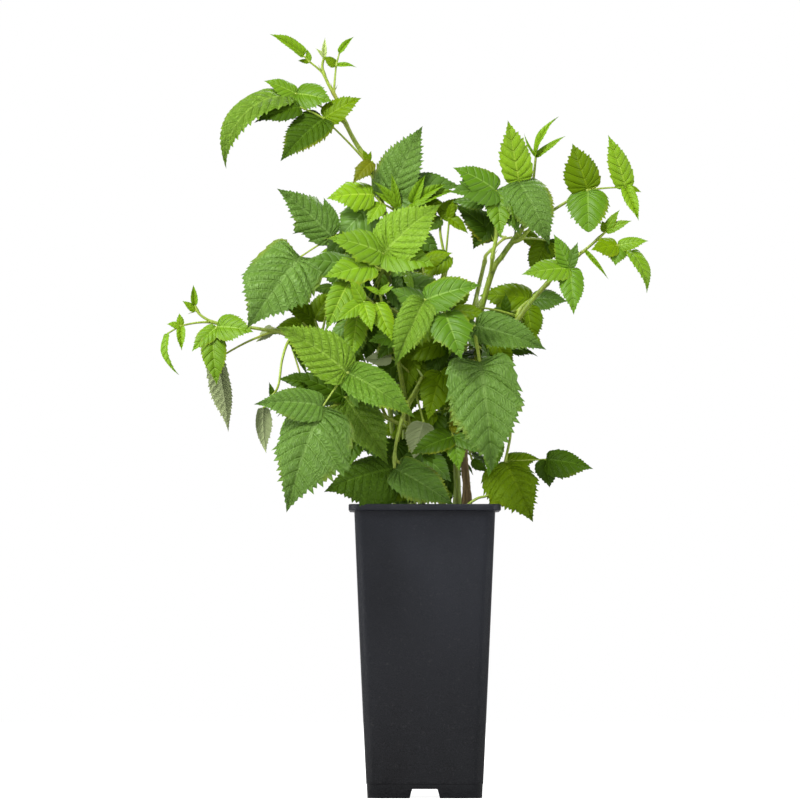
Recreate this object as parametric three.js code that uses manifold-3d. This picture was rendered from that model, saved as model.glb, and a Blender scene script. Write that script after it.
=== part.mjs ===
// A young raspberry plant in a deep square nursery pot. Millimetres, +Z up, the front of the plant at -Y.
// The pot and its compost carry green canes. Side shoots and leaf stalks leave the canes, and every
// shoot with its leaves is one solid that stops a hair short of the cane that bears it.
import * as THREE from 'three';
import { mergeVertices } from 'three/addons/utils/BufferGeometryUtils.js';
import Module from 'manifold-3d';

const wasm = await Module();
wasm.setup();

// ---- Driving sizes
const POT_HEIGHT = 222;
const POT_RIM_SIDE = 115;
const POT_RIM_DEPTH = 6.5;
const POT_TOP_SIDE = 106.5;
const POT_FOOT_SIDE = 87.5;
const POT_FOOT_STEP = 10.5;
const POT_WALL = 1.8;
const POT_FLOOR = 10;
const CORNER_TOP = 11;
const CORNER_FOOT = 8;
const CORNER_STEPS = 4;
const RIM_ROUNDING = 1;
const CHANNEL_HEIGHT = 7;
const CHANNEL_TOP_WIDTH = 19;
const CHANNEL_FOOT_WIDTH = 23.5;
const COMPOST_TOP = 214;
const COMPOST_CROWN = 2;
const COMPOST_SHOULDER = 8;
const SEAM = 0.3; // the hair of air between two solids that meet
const CROWN_SHIFT_X = 13.7; // from the middle of the whole plant's width to the pot's middle

const CANE_SIDES = 7;
const STEM_SIDES = 5;
const STALK_SIDES = 3;
const STALK_RADIUS = 1.15;
const STALK_TAPER = 0.85;
const RACHIS_RADIUS = 0.95;
const KNOB_RADIUS = 2.6; // to the corners of the small swelling that leaflets grow from
const ROOT_START = 0.8; // from the middle of that swelling to a leaflet's root
const LEAF_ROOT_HALF = 0.5;
const UPRIGHT_FOOT = 22; // a cane leaves the compost straight up for this far
const LEAF_FOLD = 12; // degrees that each half of a leaflet rises from its midrib
const LEAF_ARCH = 30; // degrees that a midrib bends from root to tip
const LEAF_FACE = 30; // degrees that a leaflet's upper side looks up, from straight at the front
const LEAF_THICKNESS_SHARE = 1 / 65;
const LEAF_STATIONS = [[0.3, 0.96], [0.66, 0.72]]; // share of the length, share of the widest half
const SMALL_LEAF_STATIONS = [[0.42, 1]];
const SMALL_LEAF = 36; // leaflets under this length have one station
const CLEARANCE = 5; // a seeded leaf keeps this far from what stands already
const OWN_CLEARANCE = 3; // and this far from the leaves of its own shoot
const LIMB_SAMPLES = 40; // points on a limb that this is measured from
const STEM_SAMPLES = 12;

// ---- The plan of the plant, in millimetres from the middle of the pot's underside
// Limbs: points from the foot up, and the radius at the foot and at the tip. A bough names the limb that
// bears it and the height where it leaves that limb.
const LIMBS = [
  { "name": "cane_tall", "radii": [2.9, 2.1], "flare": 1.5,
    "points": [[-15, 2, 214], [-14, 0, 290], [-11, 0, 335], [-18, 4, 394], [-30, 12, 443], [-40, 13, 477]] },
  { "name": "cane_middle", "radii": [2.5, 1.6], "flare": 1.5,
    "points": [[-2, 14, 214], [1, 13, 300], [5, 9, 350], [2, 5, 400], [-9, 3, 426]] },
  { "name": "cane_front", "radii": [2.4, 1.5], "flare": 1.5,
    "points": [[-9, -18, 214], [-12, -24, 280], [-19, -40, 325], [-28, -60, 358]] },
  { "name": "cane_right", "radii": [2.8, 1.9], "flare": 1.5,
    "points": [[25, 4, 214], [25, 6, 262], [34, 8, 330], [50, 4, 395], [60, 2, 413], [71, 0, 428]] },
  { "name": "cane_woody", "radii": [3.1, 2.7], "flare": 1.6,
    "points": [[32, -8, 214], [30, -9, 262], [32, -10, 300], [31, -12, 338]] },
  { "name": "cane_back_left", "radii": [2.4, 1.5], "flare": 1.5,
    "points": [[-22, 20, 214], [-27, 30, 300], [-42, 50, 370], [-52, 60, 408]] },
  { "name": "cane_back_right", "radii": [2.4, 1.5], "flare": 1.5,
    "points": [[14, 28, 214], [20, 40, 300], [37, 60, 370], [47, 70, 412]] },
  { "name": "bough_left", "radii": [2.2, 1.7], "on": ["cane_tall", 303],
    "points": [[-45, -10, 316], [-78, -14, 341], [-106, -12, 352]] },
  { "name": "bough_right", "radii": [2.3, 1.7], "on": ["cane_woody", 312],
    "points": [[48, -12, 334], [70, -11, 362], [82, -10, 378], [94, -10, 391]] },
];

// Shoots: "on" is the limb and the height where the shoot leaves it, "stem" what the stem goes through.
// A leaf grows "at" a share of the stem, its stalk ends at "hub", and "end" is where its last leaflets sit.
// A leaf with no hub sits on the stem's tip.
// A leaflet is [clock hour it points to, degrees it leans to the front, length, width over length].
const SHOOTS = [
  { "name": "leaves_tall_tip", "on": ["cane_tall", "tip"], "radii": [2.1, 0.9],
    "stem": [[-52, 12, 500], [-61, 10, 517], [-67, 8, 532], [-74, 8, 545], [-78, 8, 556], [-77, 8, 564]],
    "leaves": [
      { "at": 1, "leaflets": [[12.2, 10, 16, 0.4], [10.7, 10, 10, 0.45]] },
      { "at": 0.8, "hub": [-88, 6, 561], "leaflets": [[9, 10, 9, 0.5], [11.6, 0, 10, 0.5]],
        "end": [-92.6, 5, 565.4], "last": [[10.15, 8, 31, 0.42]] },
      { "at": 0.62, "hub": [-67.5, 6, 558], "leaflets": [[10.1, 5, 12, 0.45], [3.1, 5, 16, 0.35]],
        "end": [-65, 5, 567.5], "last": [[1.4, 10, 17, 0.45]] },
      { "at": 0.4, "hub": [-98, 2, 536], "leaflets": [[3.55, 15, 29, 0.6], [9.7, 5, 27, 0.6]],
        "end": [-104, 1, 533.5], "last": [[7.4, 5, 79, 0.42, { "face": 62, "arch": 85 }]] },
      { "at": 0.1, "hub": [-76.6, -4, 516.6], "leaflets": [[7.6, 20, 47, 0.55], [2.1, 0, 33, 0.5]],
        "end": [-95, -8, 525], "last": [[8.43, 15, 39, 0.5]] },
      { "at": 0.03, "hub": [-46, 0, 482], "leaflets": [[7.3, 20, 19, 0.45]] },
    ] },
  { "name": "leaves_middle_top", "on": ["cane_middle", "tip"], "radii": [1.6, 0.9],
    "stem": [[-15, 1, 436], [-19, 0, 443], [-20, 0, 448]],
    "leaves": [
      { "at": 1, "leaflets": [[10.65, 5, 29, 0.34], [10.05, 12, 24, 0.32], [11.56, 0, 28, 0.34]] },
      { "at": 0.3, "hub": [-24, 5, 457], "leaflets": [[0.94, 0, 63, 0.6], [2.57, -10, 44, 0.5]] },
      { "at": 0.8, "hub": [-33, -2, 452], "leaflets": [[7, 20, 22, 0.5]],
        "end": [-39, -3, 456], "last": [[8.95, 10, 37, 0.58]] },
      { "at": 0.4, "hub": [-41, 2, 450], "leaflets": [[7.5, 10, 38, 0.5]] },
      { "at": 0.7, "hub": [-9, -4, 452],
        "leaflets": [[0.74, 5, 24, 0.55], [2.1, 10, 30, 0.5], [5.5, 30, 13, 0.6]] },
    ] },
  { "name": "leaves_centre_upper", "on": ["cane_tall", 383], "radii": [1.5, 1.1],
    "stem": [[-26, -22, 392], [-30, -46, 404], [-31, -68, 410]],
    "leaves": [
      { "at": 1, "leaflets": [[1.56, 5, 58, 0.72], [9.6, 10, 45, 0.6], [3.4, 15, 40, 0.62]],
        "end": [-38, -72, 401], "last": [[8.46, 15, 41, 0.6]] },
      { "at": 0.5, "hub": [-53, -50, 400], "leaflets": [[9.4, 10, 37, 0.55]] },
    ] },
  { "name": "leaves_upper_left", "on": ["cane_tall", 412], "radii": [1.4, 1.1],
    "stem": [[-45, -4, 418], [-56, -12, 422], [-70, -20, 425]],
    "leaves": [
      { "at": 1, "leaflets": [[10.46, 5, 58, 0.5]],
        "end": [-94, -26, 410], "last": [[7.24, 15, 68, 0.64]] },
    ] },
  { "name": "leaves_front_young", "on": ["cane_front", "tip"], "radii": [1.5, 0.9],
    "stem": [[-31, -68, 368], [-34, -76, 380]],
    "leaves": [
      { "at": 1, "leaflets": [[9.7, 20, 14, 0.4], [1.5, 10, 11, 0.4], [2.3, 20, 13, 0.4]] },
      { "at": 0.6, "hub": [-46, -86, 373],
        "leaflets": [[7.74, 20, 28, 0.55], [10.9, 10, 21, 0.5], [5.46, 25, 27, 0.5]] },
      { "at": 0.5, "hub": [-57, -76, 388], "leaflets": [[6.85, 20, 44, 0.5]] },
      { "at": 0.2, "hub": [-51, -72, 362], "leaflets": [[6.2, 20, 36, 0.5]] },
      { "at": 0.3, "hub": [-36, -82, 372], "leaflets": [[5.35, 20, 34, 0.5]] },
    ] },
  { "name": "leaves_centre", "on": ["cane_middle", 340], "radii": [1.6, 1.1],
    "stem": [[4, -25, 352], [2, -60, 366], [0, -92, 374]],
    "leaves": [
      { "at": 1, "leaflets": [[2.1, 10, 44, 0.52], [6.79, 15, 58, 0.42]],
        "end": [15, -96, 364], "last": [[5.37, 25, 42, 0.75]] },
      { "at": 0.6, "hub": [4, -66, 368], "leaflets": [[7.16, 15, 44, 0.75], [9.87, 10, 35, 0.55]] },
      { "at": 0.35, "hub": [-2, -30, 405], "leaflets": [[2.5, 10, 27, 0.6]] },
      { "at": 0.25, "hub": [-25, -33, 388], "leaflets": [[3.2, 5, 46, 0.62]] },
      { "at": 0.45, "hub": [-4, -72, 352], "leaflets": [[8.5, 0, 40, 0.66]] },
    ] },
  { "name": "leaves_middle_thin", "on": ["cane_middle", 380], "radii": [1.3, 0.9],
    "stem": [[16, 4, 398], [15, 3, 413], [12, 2, 430], [13, 1, 441]],
    "leaves": [
      { "at": 1, "leaflets": [[1.45, 10, 22, 0.7], [7.5, -10, 14, 0.6]] },
      { "at": 0.2, "hub": [19, -4, 441], "leaflets": [[4.4, 15, 20, 0.5], [0.4, 10, 14, 0.5]] },
    ] },
  { "name": "leaves_left_shoot", "on": ["bough_left", "tip"], "radii": [1.7, 0.9],
    "stem": [[-120, -10, 355], [-133, -9, 357], [-157, -8, 360], [-170, -8, 366], [-175, -8, 374]],
    "leaves": [
      { "at": 1, "leaflets": [[11.85, 5, 16, 0.42], [10.2, 10, 13, 0.5]] },
      { "at": 0.7, "hub": [-185.5, -12, 358],
        "leaflets": [[6, 15, 20, 0.5], [9.3, 5, 11, 0.6], [11.8, 5, 10, 0.6]],
        "end": [-195, -14, 353], "last": [[5.6, 20, 34, 0.36, { "arch": 60, "face": 60 }]] },
      { "at": 0.64, "hub": [-158, -16, 357], "leaflets": [[7.5, 15, 28, 0.55], [3.55, 15, 29, 0.62]],
        "end": [-161, -18, 352], "last": [[5.93, 10, 41, 0.5]] },
      { "at": 0.3, "hub": [-153, -1, 332], "leaflets": [[5.74, -5, 54, 0.36, { "roll": 150 }]] },
      { "at": 0.08, "hub": [-116, -2, 357], "leaflets": [[7.6, -20, 18, 0.6, { "roll": 150 }]] },
    ] },
  { "name": "leaves_low_left", "on": ["cane_front", 302], "radii": [1.8, 1.3],
    "stem": [[-34, -60, 312], [-46, -86, 318], [-58, -104, 319]],
    "leaves": [
      { "at": 1, "leaflets": [[10.2, 5, 64, 0.55], [4.07, 10, 63, 0.53]],
        "end": [-76, -116, 294], "last": [[6.69, 12, 86, 0.62], [9.14, 10, 55, 0.42]] },
    ] },
  { "name": "leaves_low_inner", "on": ["cane_front", 276], "radii": [1.5, 1.1],
    "stem": [[-30, -38, 288], [-46, -49, 298], [-60, -58, 302]],
    "leaves": [
      { "at": 1, "leaflets": [[4.93, 10, 62, 0.5], [9.75, 0, 44, 0.5]],
        "end": [-76, -60, 290], "last": [[8, 5, 36, 0.5]] },
      { "at": 0.7, "hub": [-100, -72, 300], "leaflets": [],
        "end": [-121, -76, 298], "last": [[5.8, 0, 36, 0.5, { "roll": 150 }]] },
    ] },
  { "name": "leaves_low_front", "on": ["cane_middle", 320], "radii": [1.5, 1.1],
    "stem": [[-1, -12, 318], [-7, -30, 306], [-17, -42, 287], [-22, -45, 266], [-23, -46, 249]],
    "leaves": [
      { "at": 1, "leaflets": [[8.6, 5, 56, 0.52], [4, 0, 52, 0.58]] },
      { "at": 0.4, "hub": [-1, -38, 284], "leaflets": [[6.86, -5, 30, 0.5, { "roll": 150 }]] },
    ] },
  { "name": "leaves_low_middle", "on": ["cane_right", 304], "radii": [1.5, 1.1],
    "stem": [[23, -16, 304], [20, -32, 292], [21, -46, 273]],
    "leaves": [
      { "at": 1, "leaflets": [[5.55, 15, 28, 0.5], [3.9, 10, 32, 0.55], [8.2, 10, 36, 0.6]] },
      { "at": 0.3, "hub": [12, -46, 322], "leaflets": [[6.4, 15, 40, 0.65], [4.6, 10, 34, 0.6]] },
    ] },
  { "name": "leaves_low_right", "on": ["cane_woody", "tip"], "radii": [1.7, 1.2],
    "stem": [[33, -28, 352], [37, -60, 352], [41, -88, 333]],
    "leaves": [
      { "at": 1, "leaflets": [[5.7, 8, 90, 0.66]] },
      { "at": 0.5, "hub": [38, -60, 356], "leaflets": [[3.6, 10, 57, 0.45]] },
    ] },
  { "name": "leaves_rim_right", "on": ["cane_woody", 288], "radii": [1.4, 1.0],
    "stem": [[46, -14, 296], [58, -20, 292], [65, -26, 278], [61, -28, 254]],
    "leaves": [
      { "at": 1, "leaflets": [[4.82, 20, 48, 0.7], [3.4, -10, 24, 0.5], [6.6, 10, 22, 0.5]],
        "end": [92, -28, 256], "last": [[3.17, 0, 35, 0.6], [5.6, 15, 21, 0.5]] },
    ] },
  { "name": "leaves_right_far", "on": ["bough_right", "tip"], "radii": [1.7, 0.9],
    "stem": [[104, -10, 400], [116, -10, 411], [127, -10, 420], [138, -10, 430]],
    "leaves": [
      { "at": 1, "leaflets": [[1, 5, 20, 0.45], [2.2, 10, 21, 0.45]] },
      { "at": 0.62, "hub": [122, -14, 415], "leaflets": [[4.9, 10, 28, 0.34]] },
      { "at": 0.9, "hub": [147, -14, 419],
        "leaflets": [[8.9, 15, 21, 0.5], [6.3, 20, 15, 0.5], [2.5, 5, 24, 0.5]],
        "end": [156.6, -15, 415], "last": [[5.3, 15, 36, 0.46]] },
      { "at": 0.25, "hub": [110, -32, 401],
        "leaflets": [[5.74, 20, 37, 0.5], [8.67, 10, 38, 0.5], [11.1, 5, 29, 0.5], [0.47, 5, 21, 0.45]] },
    ] },
  { "name": "leaves_right_inner", "on": ["bough_right", 364], "radii": [1.4, 1.1],
    "stem": [[73, 6, 372], [82, 20, 380]],
    "leaves": [
      { "at": 1, "leaflets": [[3, 5, 28, 0.5], [9.5, -4, 44, 0.6], [7, 5, 28, 0.6]] },
      { "at": 0.3, "hub": [76, 2, 354], "leaflets": [[4.4, 10, 20, 0.5]] },
    ] },
  { "name": "leaves_right_top", "on": ["cane_right", "tip"], "radii": [1.8, 0.9],
    "stem": [[76, 0, 438], [80, 0, 454], [83, 0, 470], [85, 0, 488]],
    "leaves": [
      { "at": 1, "leaflets": [[0.96, 5, 35, 0.4], [11.05, 5, 23, 0.4], [1.9, 10, 25, 0.4]] },
      { "at": 0.3, "hub": [69, -12, 468],
        "leaflets": [[11.7, 5, 48, 0.56], [5.25, 20, 60, 0.5, { "arch": 50 }]] },
      { "at": 0.05, "hub": [76, 10, 431], "leaflets": [[4.5, -5, 23, 0.5]] },
    ] },
  { "name": "leaves_right_neck", "on": ["cane_right", 396], "radii": [1.4, 1.0],
    "stem": [[52, -8, 412], [55, -12, 430], [54.5, -15, 461]],
    "leaves": [
      { "at": 1,
        "leaflets": [[10.08, 5, 39, 0.55], [9.1, 15, 35, 0.75], [5.73, 25, 42, 0.5], [5.1, 20, 42, 0.5]] },
      { "at": 0.5, "hub": [54, 8, 443], "leaflets": [[7.2, 0, 31, 0.5]] },
      { "at": 0.3, "hub": [56, 4, 430], "leaflets": [[8.6, -10, 20, 0.6, { "roll": 150 }]] },
    ] },
  { "name": "leaves_right_side", "on": ["cane_right", 424], "radii": [1.5, 1.0],
    "stem": [[74, -8, 425], [86, -6, 438], [105, -4, 451], [124.6, -4, 462]],
    "leaves": [
      { "at": 1, "leaflets": [[11.5, 5, 40, 0.75], [5.9, 30, 36, 0.85]],
        "end": [155, -4, 465.5], "last": [[11.4, 0, 43, 0.45], [3.6, 10, 13, 0.5], [5.46, 20, 30, 0.5]] },
    ] },
  { "name": "leaves_left_shade", "on": ["bough_left", 342], "radii": [1.4, 1.1],
    "stem": [[-80, 4, 352], [-84, 12, 364]],
    "leaves": [
      { "at": 1, "leaflets": [[1, 0, 28, 0.7], [10, 5, 32, 0.55], [8, 10, 28, 0.55]] },
    ] },
];

// Seeded shoots fill the back and the inside. "toward" is the compass turn that the stem leans to (0 right,
// 90 back), "rise" its slope, "size" the share of a grown leaf, and "space" the corners its leaves stay in.
const SEEDED_SHOOTS = [
  { "name": "leaves_inner_left", "on": ["cane_tall", 350], "toward": 215, "rise": 25,
    "reach": 34, "size": 0.72, "leaves": 4, "seed": 5, "space": [[-98, -66, 290], [12, 40, 412]] },
  { "name": "leaves_inner_right", "on": ["cane_right", 345], "toward": 300, "rise": 25,
    "reach": 30, "size": 0.72, "leaves": 4, "seed": 18, "space": [[-4, -66, 285], [96, 40, 412]] },
  { "name": "leaves_inner_top", "on": ["cane_middle", 400], "toward": 30, "rise": 30,
    "reach": 26, "size": 0.66, "leaves": 4, "seed": 70, "space": [[-52, -40, 368], [48, 70, 448]] },
  { "name": "leaves_back_left_top", "on": ["cane_back_left", "tip"], "toward": 120, "rise": 35,
    "reach": 40, "size": 0.9, "leaves": 4, "seed": 44, "space": [[-92, 10, 330], [10, 142, 470]] },
  { "name": "leaves_back_right_top", "on": ["cane_back_right", "tip"], "toward": 60, "rise": 35,
    "reach": 40, "size": 0.9, "leaves": 4, "seed": 57, "space": [[-5, 14, 330], [106, 143, 466]] },
  { "name": "leaves_back_left_low", "on": ["cane_back_left", 310], "toward": 150, "rise": 20,
    "reach": 52, "size": 1, "leaves": 4, "seed": 57, "space": [[-118, 4, 226], [-8, 141, 362]] },
  { "name": "leaves_back_right_low", "on": ["cane_back_right", 310], "toward": 65, "rise": 20,
    "reach": 52, "size": 0.95, "leaves": 4, "seed": 5, "space": [[0, 6, 226], [84, 142, 362]] },
  { "name": "leaves_back_middle", "on": ["cane_middle", 352], "toward": 95, "rise": 25,
    "reach": 66, "size": 0.9, "leaves": 4, "seed": 70, "space": [[-75, 20, 285], [80, 143, 446]] },
  { "name": "leaves_back_rim", "on": ["cane_back_right", 262], "toward": 100, "rise": 8,
    "reach": 44, "size": 0.85, "leaves": 4, "seed": 18, "space": [[-70, 20, 226], [80, 138, 310]] },
];
const SEEDED_STALK = [19, 29]; // least and most
const STALK_RISE = [-5, 20];
const LEAF_DROOP = [-20, -55];
const SEEDED_LOOK_RISE = 56;
const SEEDED_TERMINAL = [44, 60];
const SEEDED_RACHIS = 14;
const SEEDED_SIDE_SHARE = 0.8;
const SEEDED_SIDE_TURN = 68;
const SEEDED_RATIO = 0.6;
const SEEDED_STEM_RADII = [1.5, 0.9];
const SEEDED_STEM_MIDDLE = 0.55;
const SEEDED_STEM_SAG = 0.08;
const SEEDED_BARE_SHARE = 0.4; // the foot of a seeded stem bears no leaf
const SEEDED_SPREAD = 300; // degrees that its leaves are dealt over
const SEEDED_TRIES = 50; // for each leaf that it may bear

// Each finish is its colour and its roughness.
const GREEN_CANE = [0x7a8f3a, 0.6];
const WOODY_CANE = [0x8a7a5c, 0.8];
const LEAF = [0x5f9a3c, 0.55];
const POT_PLASTIC = [0x343438, 0.55];
const COMPOST = [0x3a2c20, 0.95];

// ---- Small tools
const vector = ([x, y, z]) => new THREE.Vector3(x, y, z);
const radians = THREE.MathUtils.degToRad;

// Park and Miller's generator, from 0 to 1.
function seededRandom(seed) {
  let state = seed * 7919;
  return () => {
    state = (state * 16807) % 2147483647;
    return state / 2147483647;
  };
}

function geometryOf(points, faces) {
  const geometry = new THREE.BufferGeometry().setFromPoints(points);
  geometry.setIndex(faces.flat());
  return geometry;
}

function solidOf(geometry) {
  const bare = geometry.clone();
  bare.deleteAttribute('normal');
  bare.deleteAttribute('uv');
  const merged = mergeVertices(bare, 1e-4);
  return new wasm.Manifold(new wasm.Mesh({
    numProp: 3,
    vertProperties: merged.attributes.position.array,
    triVerts: new Uint32Array(merged.index.array),
  }));
}

function geometryFrom(solid) {
  const mesh = solid.getMesh();
  const geometry = new THREE.BufferGeometry();
  geometry.setAttribute('position', new THREE.BufferAttribute(new Float32Array(mesh.vertProperties), 3));
  geometry.setIndex(new THREE.BufferAttribute(new Uint32Array(mesh.triVerts), 1));
  return geometry;
}

function meshOf(name, geometry, [color, roughness]) {
  const shaded = geometry.toNonIndexed();
  shaded.computeVertexNormals();
  const mesh = new THREE.Mesh(shaded, new THREE.MeshStandardMaterial({ color, roughness, metalness: 0 }));
  mesh.name = name;
  return mesh;
}

// A skin over rings of points that all have the same count, closed by a fan at each end.
function loft(rings) {
  const count = rings[0].length;
  const faces = [];
  for (let ring = 0; ring + 1 < rings.length; ring += 1) {
    for (let i = 0; i < count; i += 1) {
      const a = ring * count + i;
      const b = ring * count + ((i + 1) % count);
      faces.push([a, b, b + count], [a, b + count, a + count]);
    }
  }
  const last = (rings.length - 1) * count;
  for (let i = 1; i + 1 < count; i += 1) {
    faces.push([0, i + 1, i], [last, last + i, last + i + 1]);
  }
  return geometryOf(rings.flat(), faces);
}

// ---- Pot and compost
function roundedSquare(side, corner, z) {
  const reach = (side / 2 - corner) * Math.SQRT2;
  const ring = [];
  for (let quarter = 0; quarter < 4; quarter += 1) {
    const turn = quarter * Math.PI / 2;
    const middleX = reach * Math.cos(turn + Math.PI / 4);
    const middleY = reach * Math.sin(turn + Math.PI / 4);
    for (let step = 0; step <= CORNER_STEPS; step += 1) {
      const angle = turn + (step / CORNER_STEPS) * Math.PI / 2;
      const x = middleX + corner * Math.cos(angle);
      const y = middleY + corner * Math.sin(angle);
      ring.push(new THREE.Vector3(x, y, z));
    }
  }
  return ring;
}

// The body's outer side at a height, under the rim.
function bodySide(z) {
  return POT_FOOT_SIDE + (POT_TOP_SIDE - POT_FOOT_SIDE) * z / (POT_HEIGHT - POT_RIM_DEPTH);
}

function channel(turn) {
  const outline = new THREE.Shape([
    new THREE.Vector2(-CHANNEL_FOOT_WIDTH / 2, -1),
    new THREE.Vector2(CHANNEL_FOOT_WIDTH / 2, -1),
    new THREE.Vector2(CHANNEL_TOP_WIDTH / 2, CHANNEL_HEIGHT),
    new THREE.Vector2(-CHANNEL_TOP_WIDTH / 2, CHANNEL_HEIGHT),
  ]);
  const length = POT_RIM_SIDE;
  const cut = new THREE.ExtrudeGeometry(outline, { depth: length, bevelEnabled: false });
  cut.translate(0, 0, -length / 2);
  cut.rotateX(Math.PI / 2);
  cut.rotateZ(turn);
  return solidOf(cut);
}

// The inner corner's radius at a height.
function innerCorner(z) {
  const share = (z - POT_FLOOR) / (POT_HEIGHT - POT_FLOOR);
  return THREE.MathUtils.lerp(CORNER_FOOT, CORNER_TOP, share) - POT_WALL;
}

function makePot() {
  const rimFoot = POT_HEIGHT - POT_RIM_DEPTH;
  const inside = (z) => roundedSquare(bodySide(z) - 2 * POT_WALL, innerCorner(z), z);
  const shell = loft([
    roundedSquare(POT_FOOT_SIDE, CORNER_FOOT, 0),
    roundedSquare(bodySide(POT_FOOT_STEP), CORNER_FOOT, POT_FOOT_STEP),
    roundedSquare(POT_TOP_SIDE, CORNER_TOP - POT_WALL, rimFoot),
    roundedSquare(POT_RIM_SIDE - RIM_ROUNDING, CORNER_TOP, rimFoot + RIM_ROUNDING / 2),
    roundedSquare(POT_RIM_SIDE, CORNER_TOP, rimFoot + 1.5 * RIM_ROUNDING),
    roundedSquare(POT_RIM_SIDE, CORNER_TOP, POT_HEIGHT - RIM_ROUNDING),
    roundedSquare(POT_RIM_SIDE - 2 * RIM_ROUNDING, CORNER_TOP - RIM_ROUNDING, POT_HEIGHT),
    inside(POT_HEIGHT),
    inside(POT_FLOOR),
  ]);
  const solid = solidOf(shell).subtract(channel(0)).subtract(channel(Math.PI / 2));
  return meshOf('pot', geometryFrom(solid), POT_PLASTIC);
}

function makeCompost() {
  const edge = COMPOST_TOP - COMPOST_CROWN;
  const layer = (z, inset) => roundedSquare(bodySide(z) - 2 * (POT_WALL + inset), innerCorner(z), z);
  const fill = loft([
    layer(POT_FLOOR + SEAM, SEAM),
    layer(edge, SEAM),
    layer(COMPOST_TOP, COMPOST_SHOULDER),
  ]);
  return meshOf('compost', fill, COMPOST);
}

// ---- Limbs and stems
function curveThrough(points) {
  return new THREE.CatmullRomCurve3(points, false, 'catmullrom', 0.5);
}

// A limb has this many rings after its first one.
const ringsOn = (points) => (points.length - 1) * 2;

// A tapering tube along a curve, cut flat at both ends.
function tube(points, startRadius, tipRadius, sides, steps, flare = 1) {
  const curve = curveThrough(points);
  const rings = [];
  let across = new THREE.Vector3(0.31, 0.95, 0.05);
  for (let step = 0; step <= steps; step += 1) {
    const along = curve.getTangent(step / steps);
    across = across.clone().addScaledVector(along, -across.dot(along)).normalize();
    const beside = along.clone().cross(across);
    const radius = THREE.MathUtils.lerp(startRadius, tipRadius, step / steps) * (step === 0 ? flare : 1);
    const middle = curve.getPoint(step / steps);
    const ring = [];
    for (let side = 0; side < sides; side += 1) {
      const angle = side * 2 * Math.PI / sides;
      ring.push(middle.clone()
        .addScaledVector(across, radius * Math.cos(angle))
        .addScaledVector(beside, radius * Math.sin(angle)));
    }
    rings.push(ring);
  }
  return loft(rings);
}

// The share of a limb's length at its ring nearest to a height, or at its tip.
function shareOn(limb, height) {
  if (height === 'tip') {
    return 1;
  }
  const curve = curveThrough(limb.path);
  const steps = ringsOn(limb.path);
  const shares = Array.from({ length: steps + 1 }, (_, step) => step / steps);
  const miss = (share) => Math.abs(curve.getPoint(share).z - height);
  return shares.reduce((best, share) => (miss(share) < miss(best) ? share : best));
}

// The first points of a stem that goes from a limb to a goal: clear of the limb at the ring nearest to
// the given height, or straight on from the limb's cut tip.
function startOn(limb, height, goal, radius) {
  const curve = curveThrough(limb.path);
  const share = shareOn(limb, height);
  const middle = curve.getPoint(share);
  if (share === 1) {
    const up = curve.getTangent(1);
    return [SEAM, SEAM + 3 * radius].map((reach) => middle.clone().addScaledVector(up, reach));
  }
  const toward = goal.clone().sub(middle).normalize();
  const steep = Math.abs(toward.dot(curve.getTangent(share)));
  const flat = Math.sqrt(1 - steep * steep);
  const bark = THREE.MathUtils.lerp(limb.radii[0], limb.radii[1], share);
  return [middle.addScaledVector(toward, (bark + radius * steep + SEAM) / flat)];
}

function growLimbs() {
  const limbs = new Map();
  for (const row of LIMBS) {
    const points = row.points.map(vector);
    if (row.on) {
      points.unshift(...startOn(limbs.get(row.on[0]), row.on[1], points[0], row.radii[0]));
    } else {
      const foot = points[0].setZ(COMPOST_TOP + SEAM);
      points.splice(1, 0, foot.clone().setZ(foot.z + UPRIGHT_FOOT));
    }
    limbs.set(row.name, { ...row, path: points });
  }
  return limbs;
}

// ---- Leaves
// The way of a clock hour seen from the front, leaning out of the clock's face.
function clockWay(hour, lean) {
  const turn = hour * Math.PI / 6;
  const flat = Math.cos(radians(lean));
  return new THREE.Vector3(Math.sin(turn) * flat, -Math.sin(radians(lean)), Math.cos(turn) * flat);
}

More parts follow.
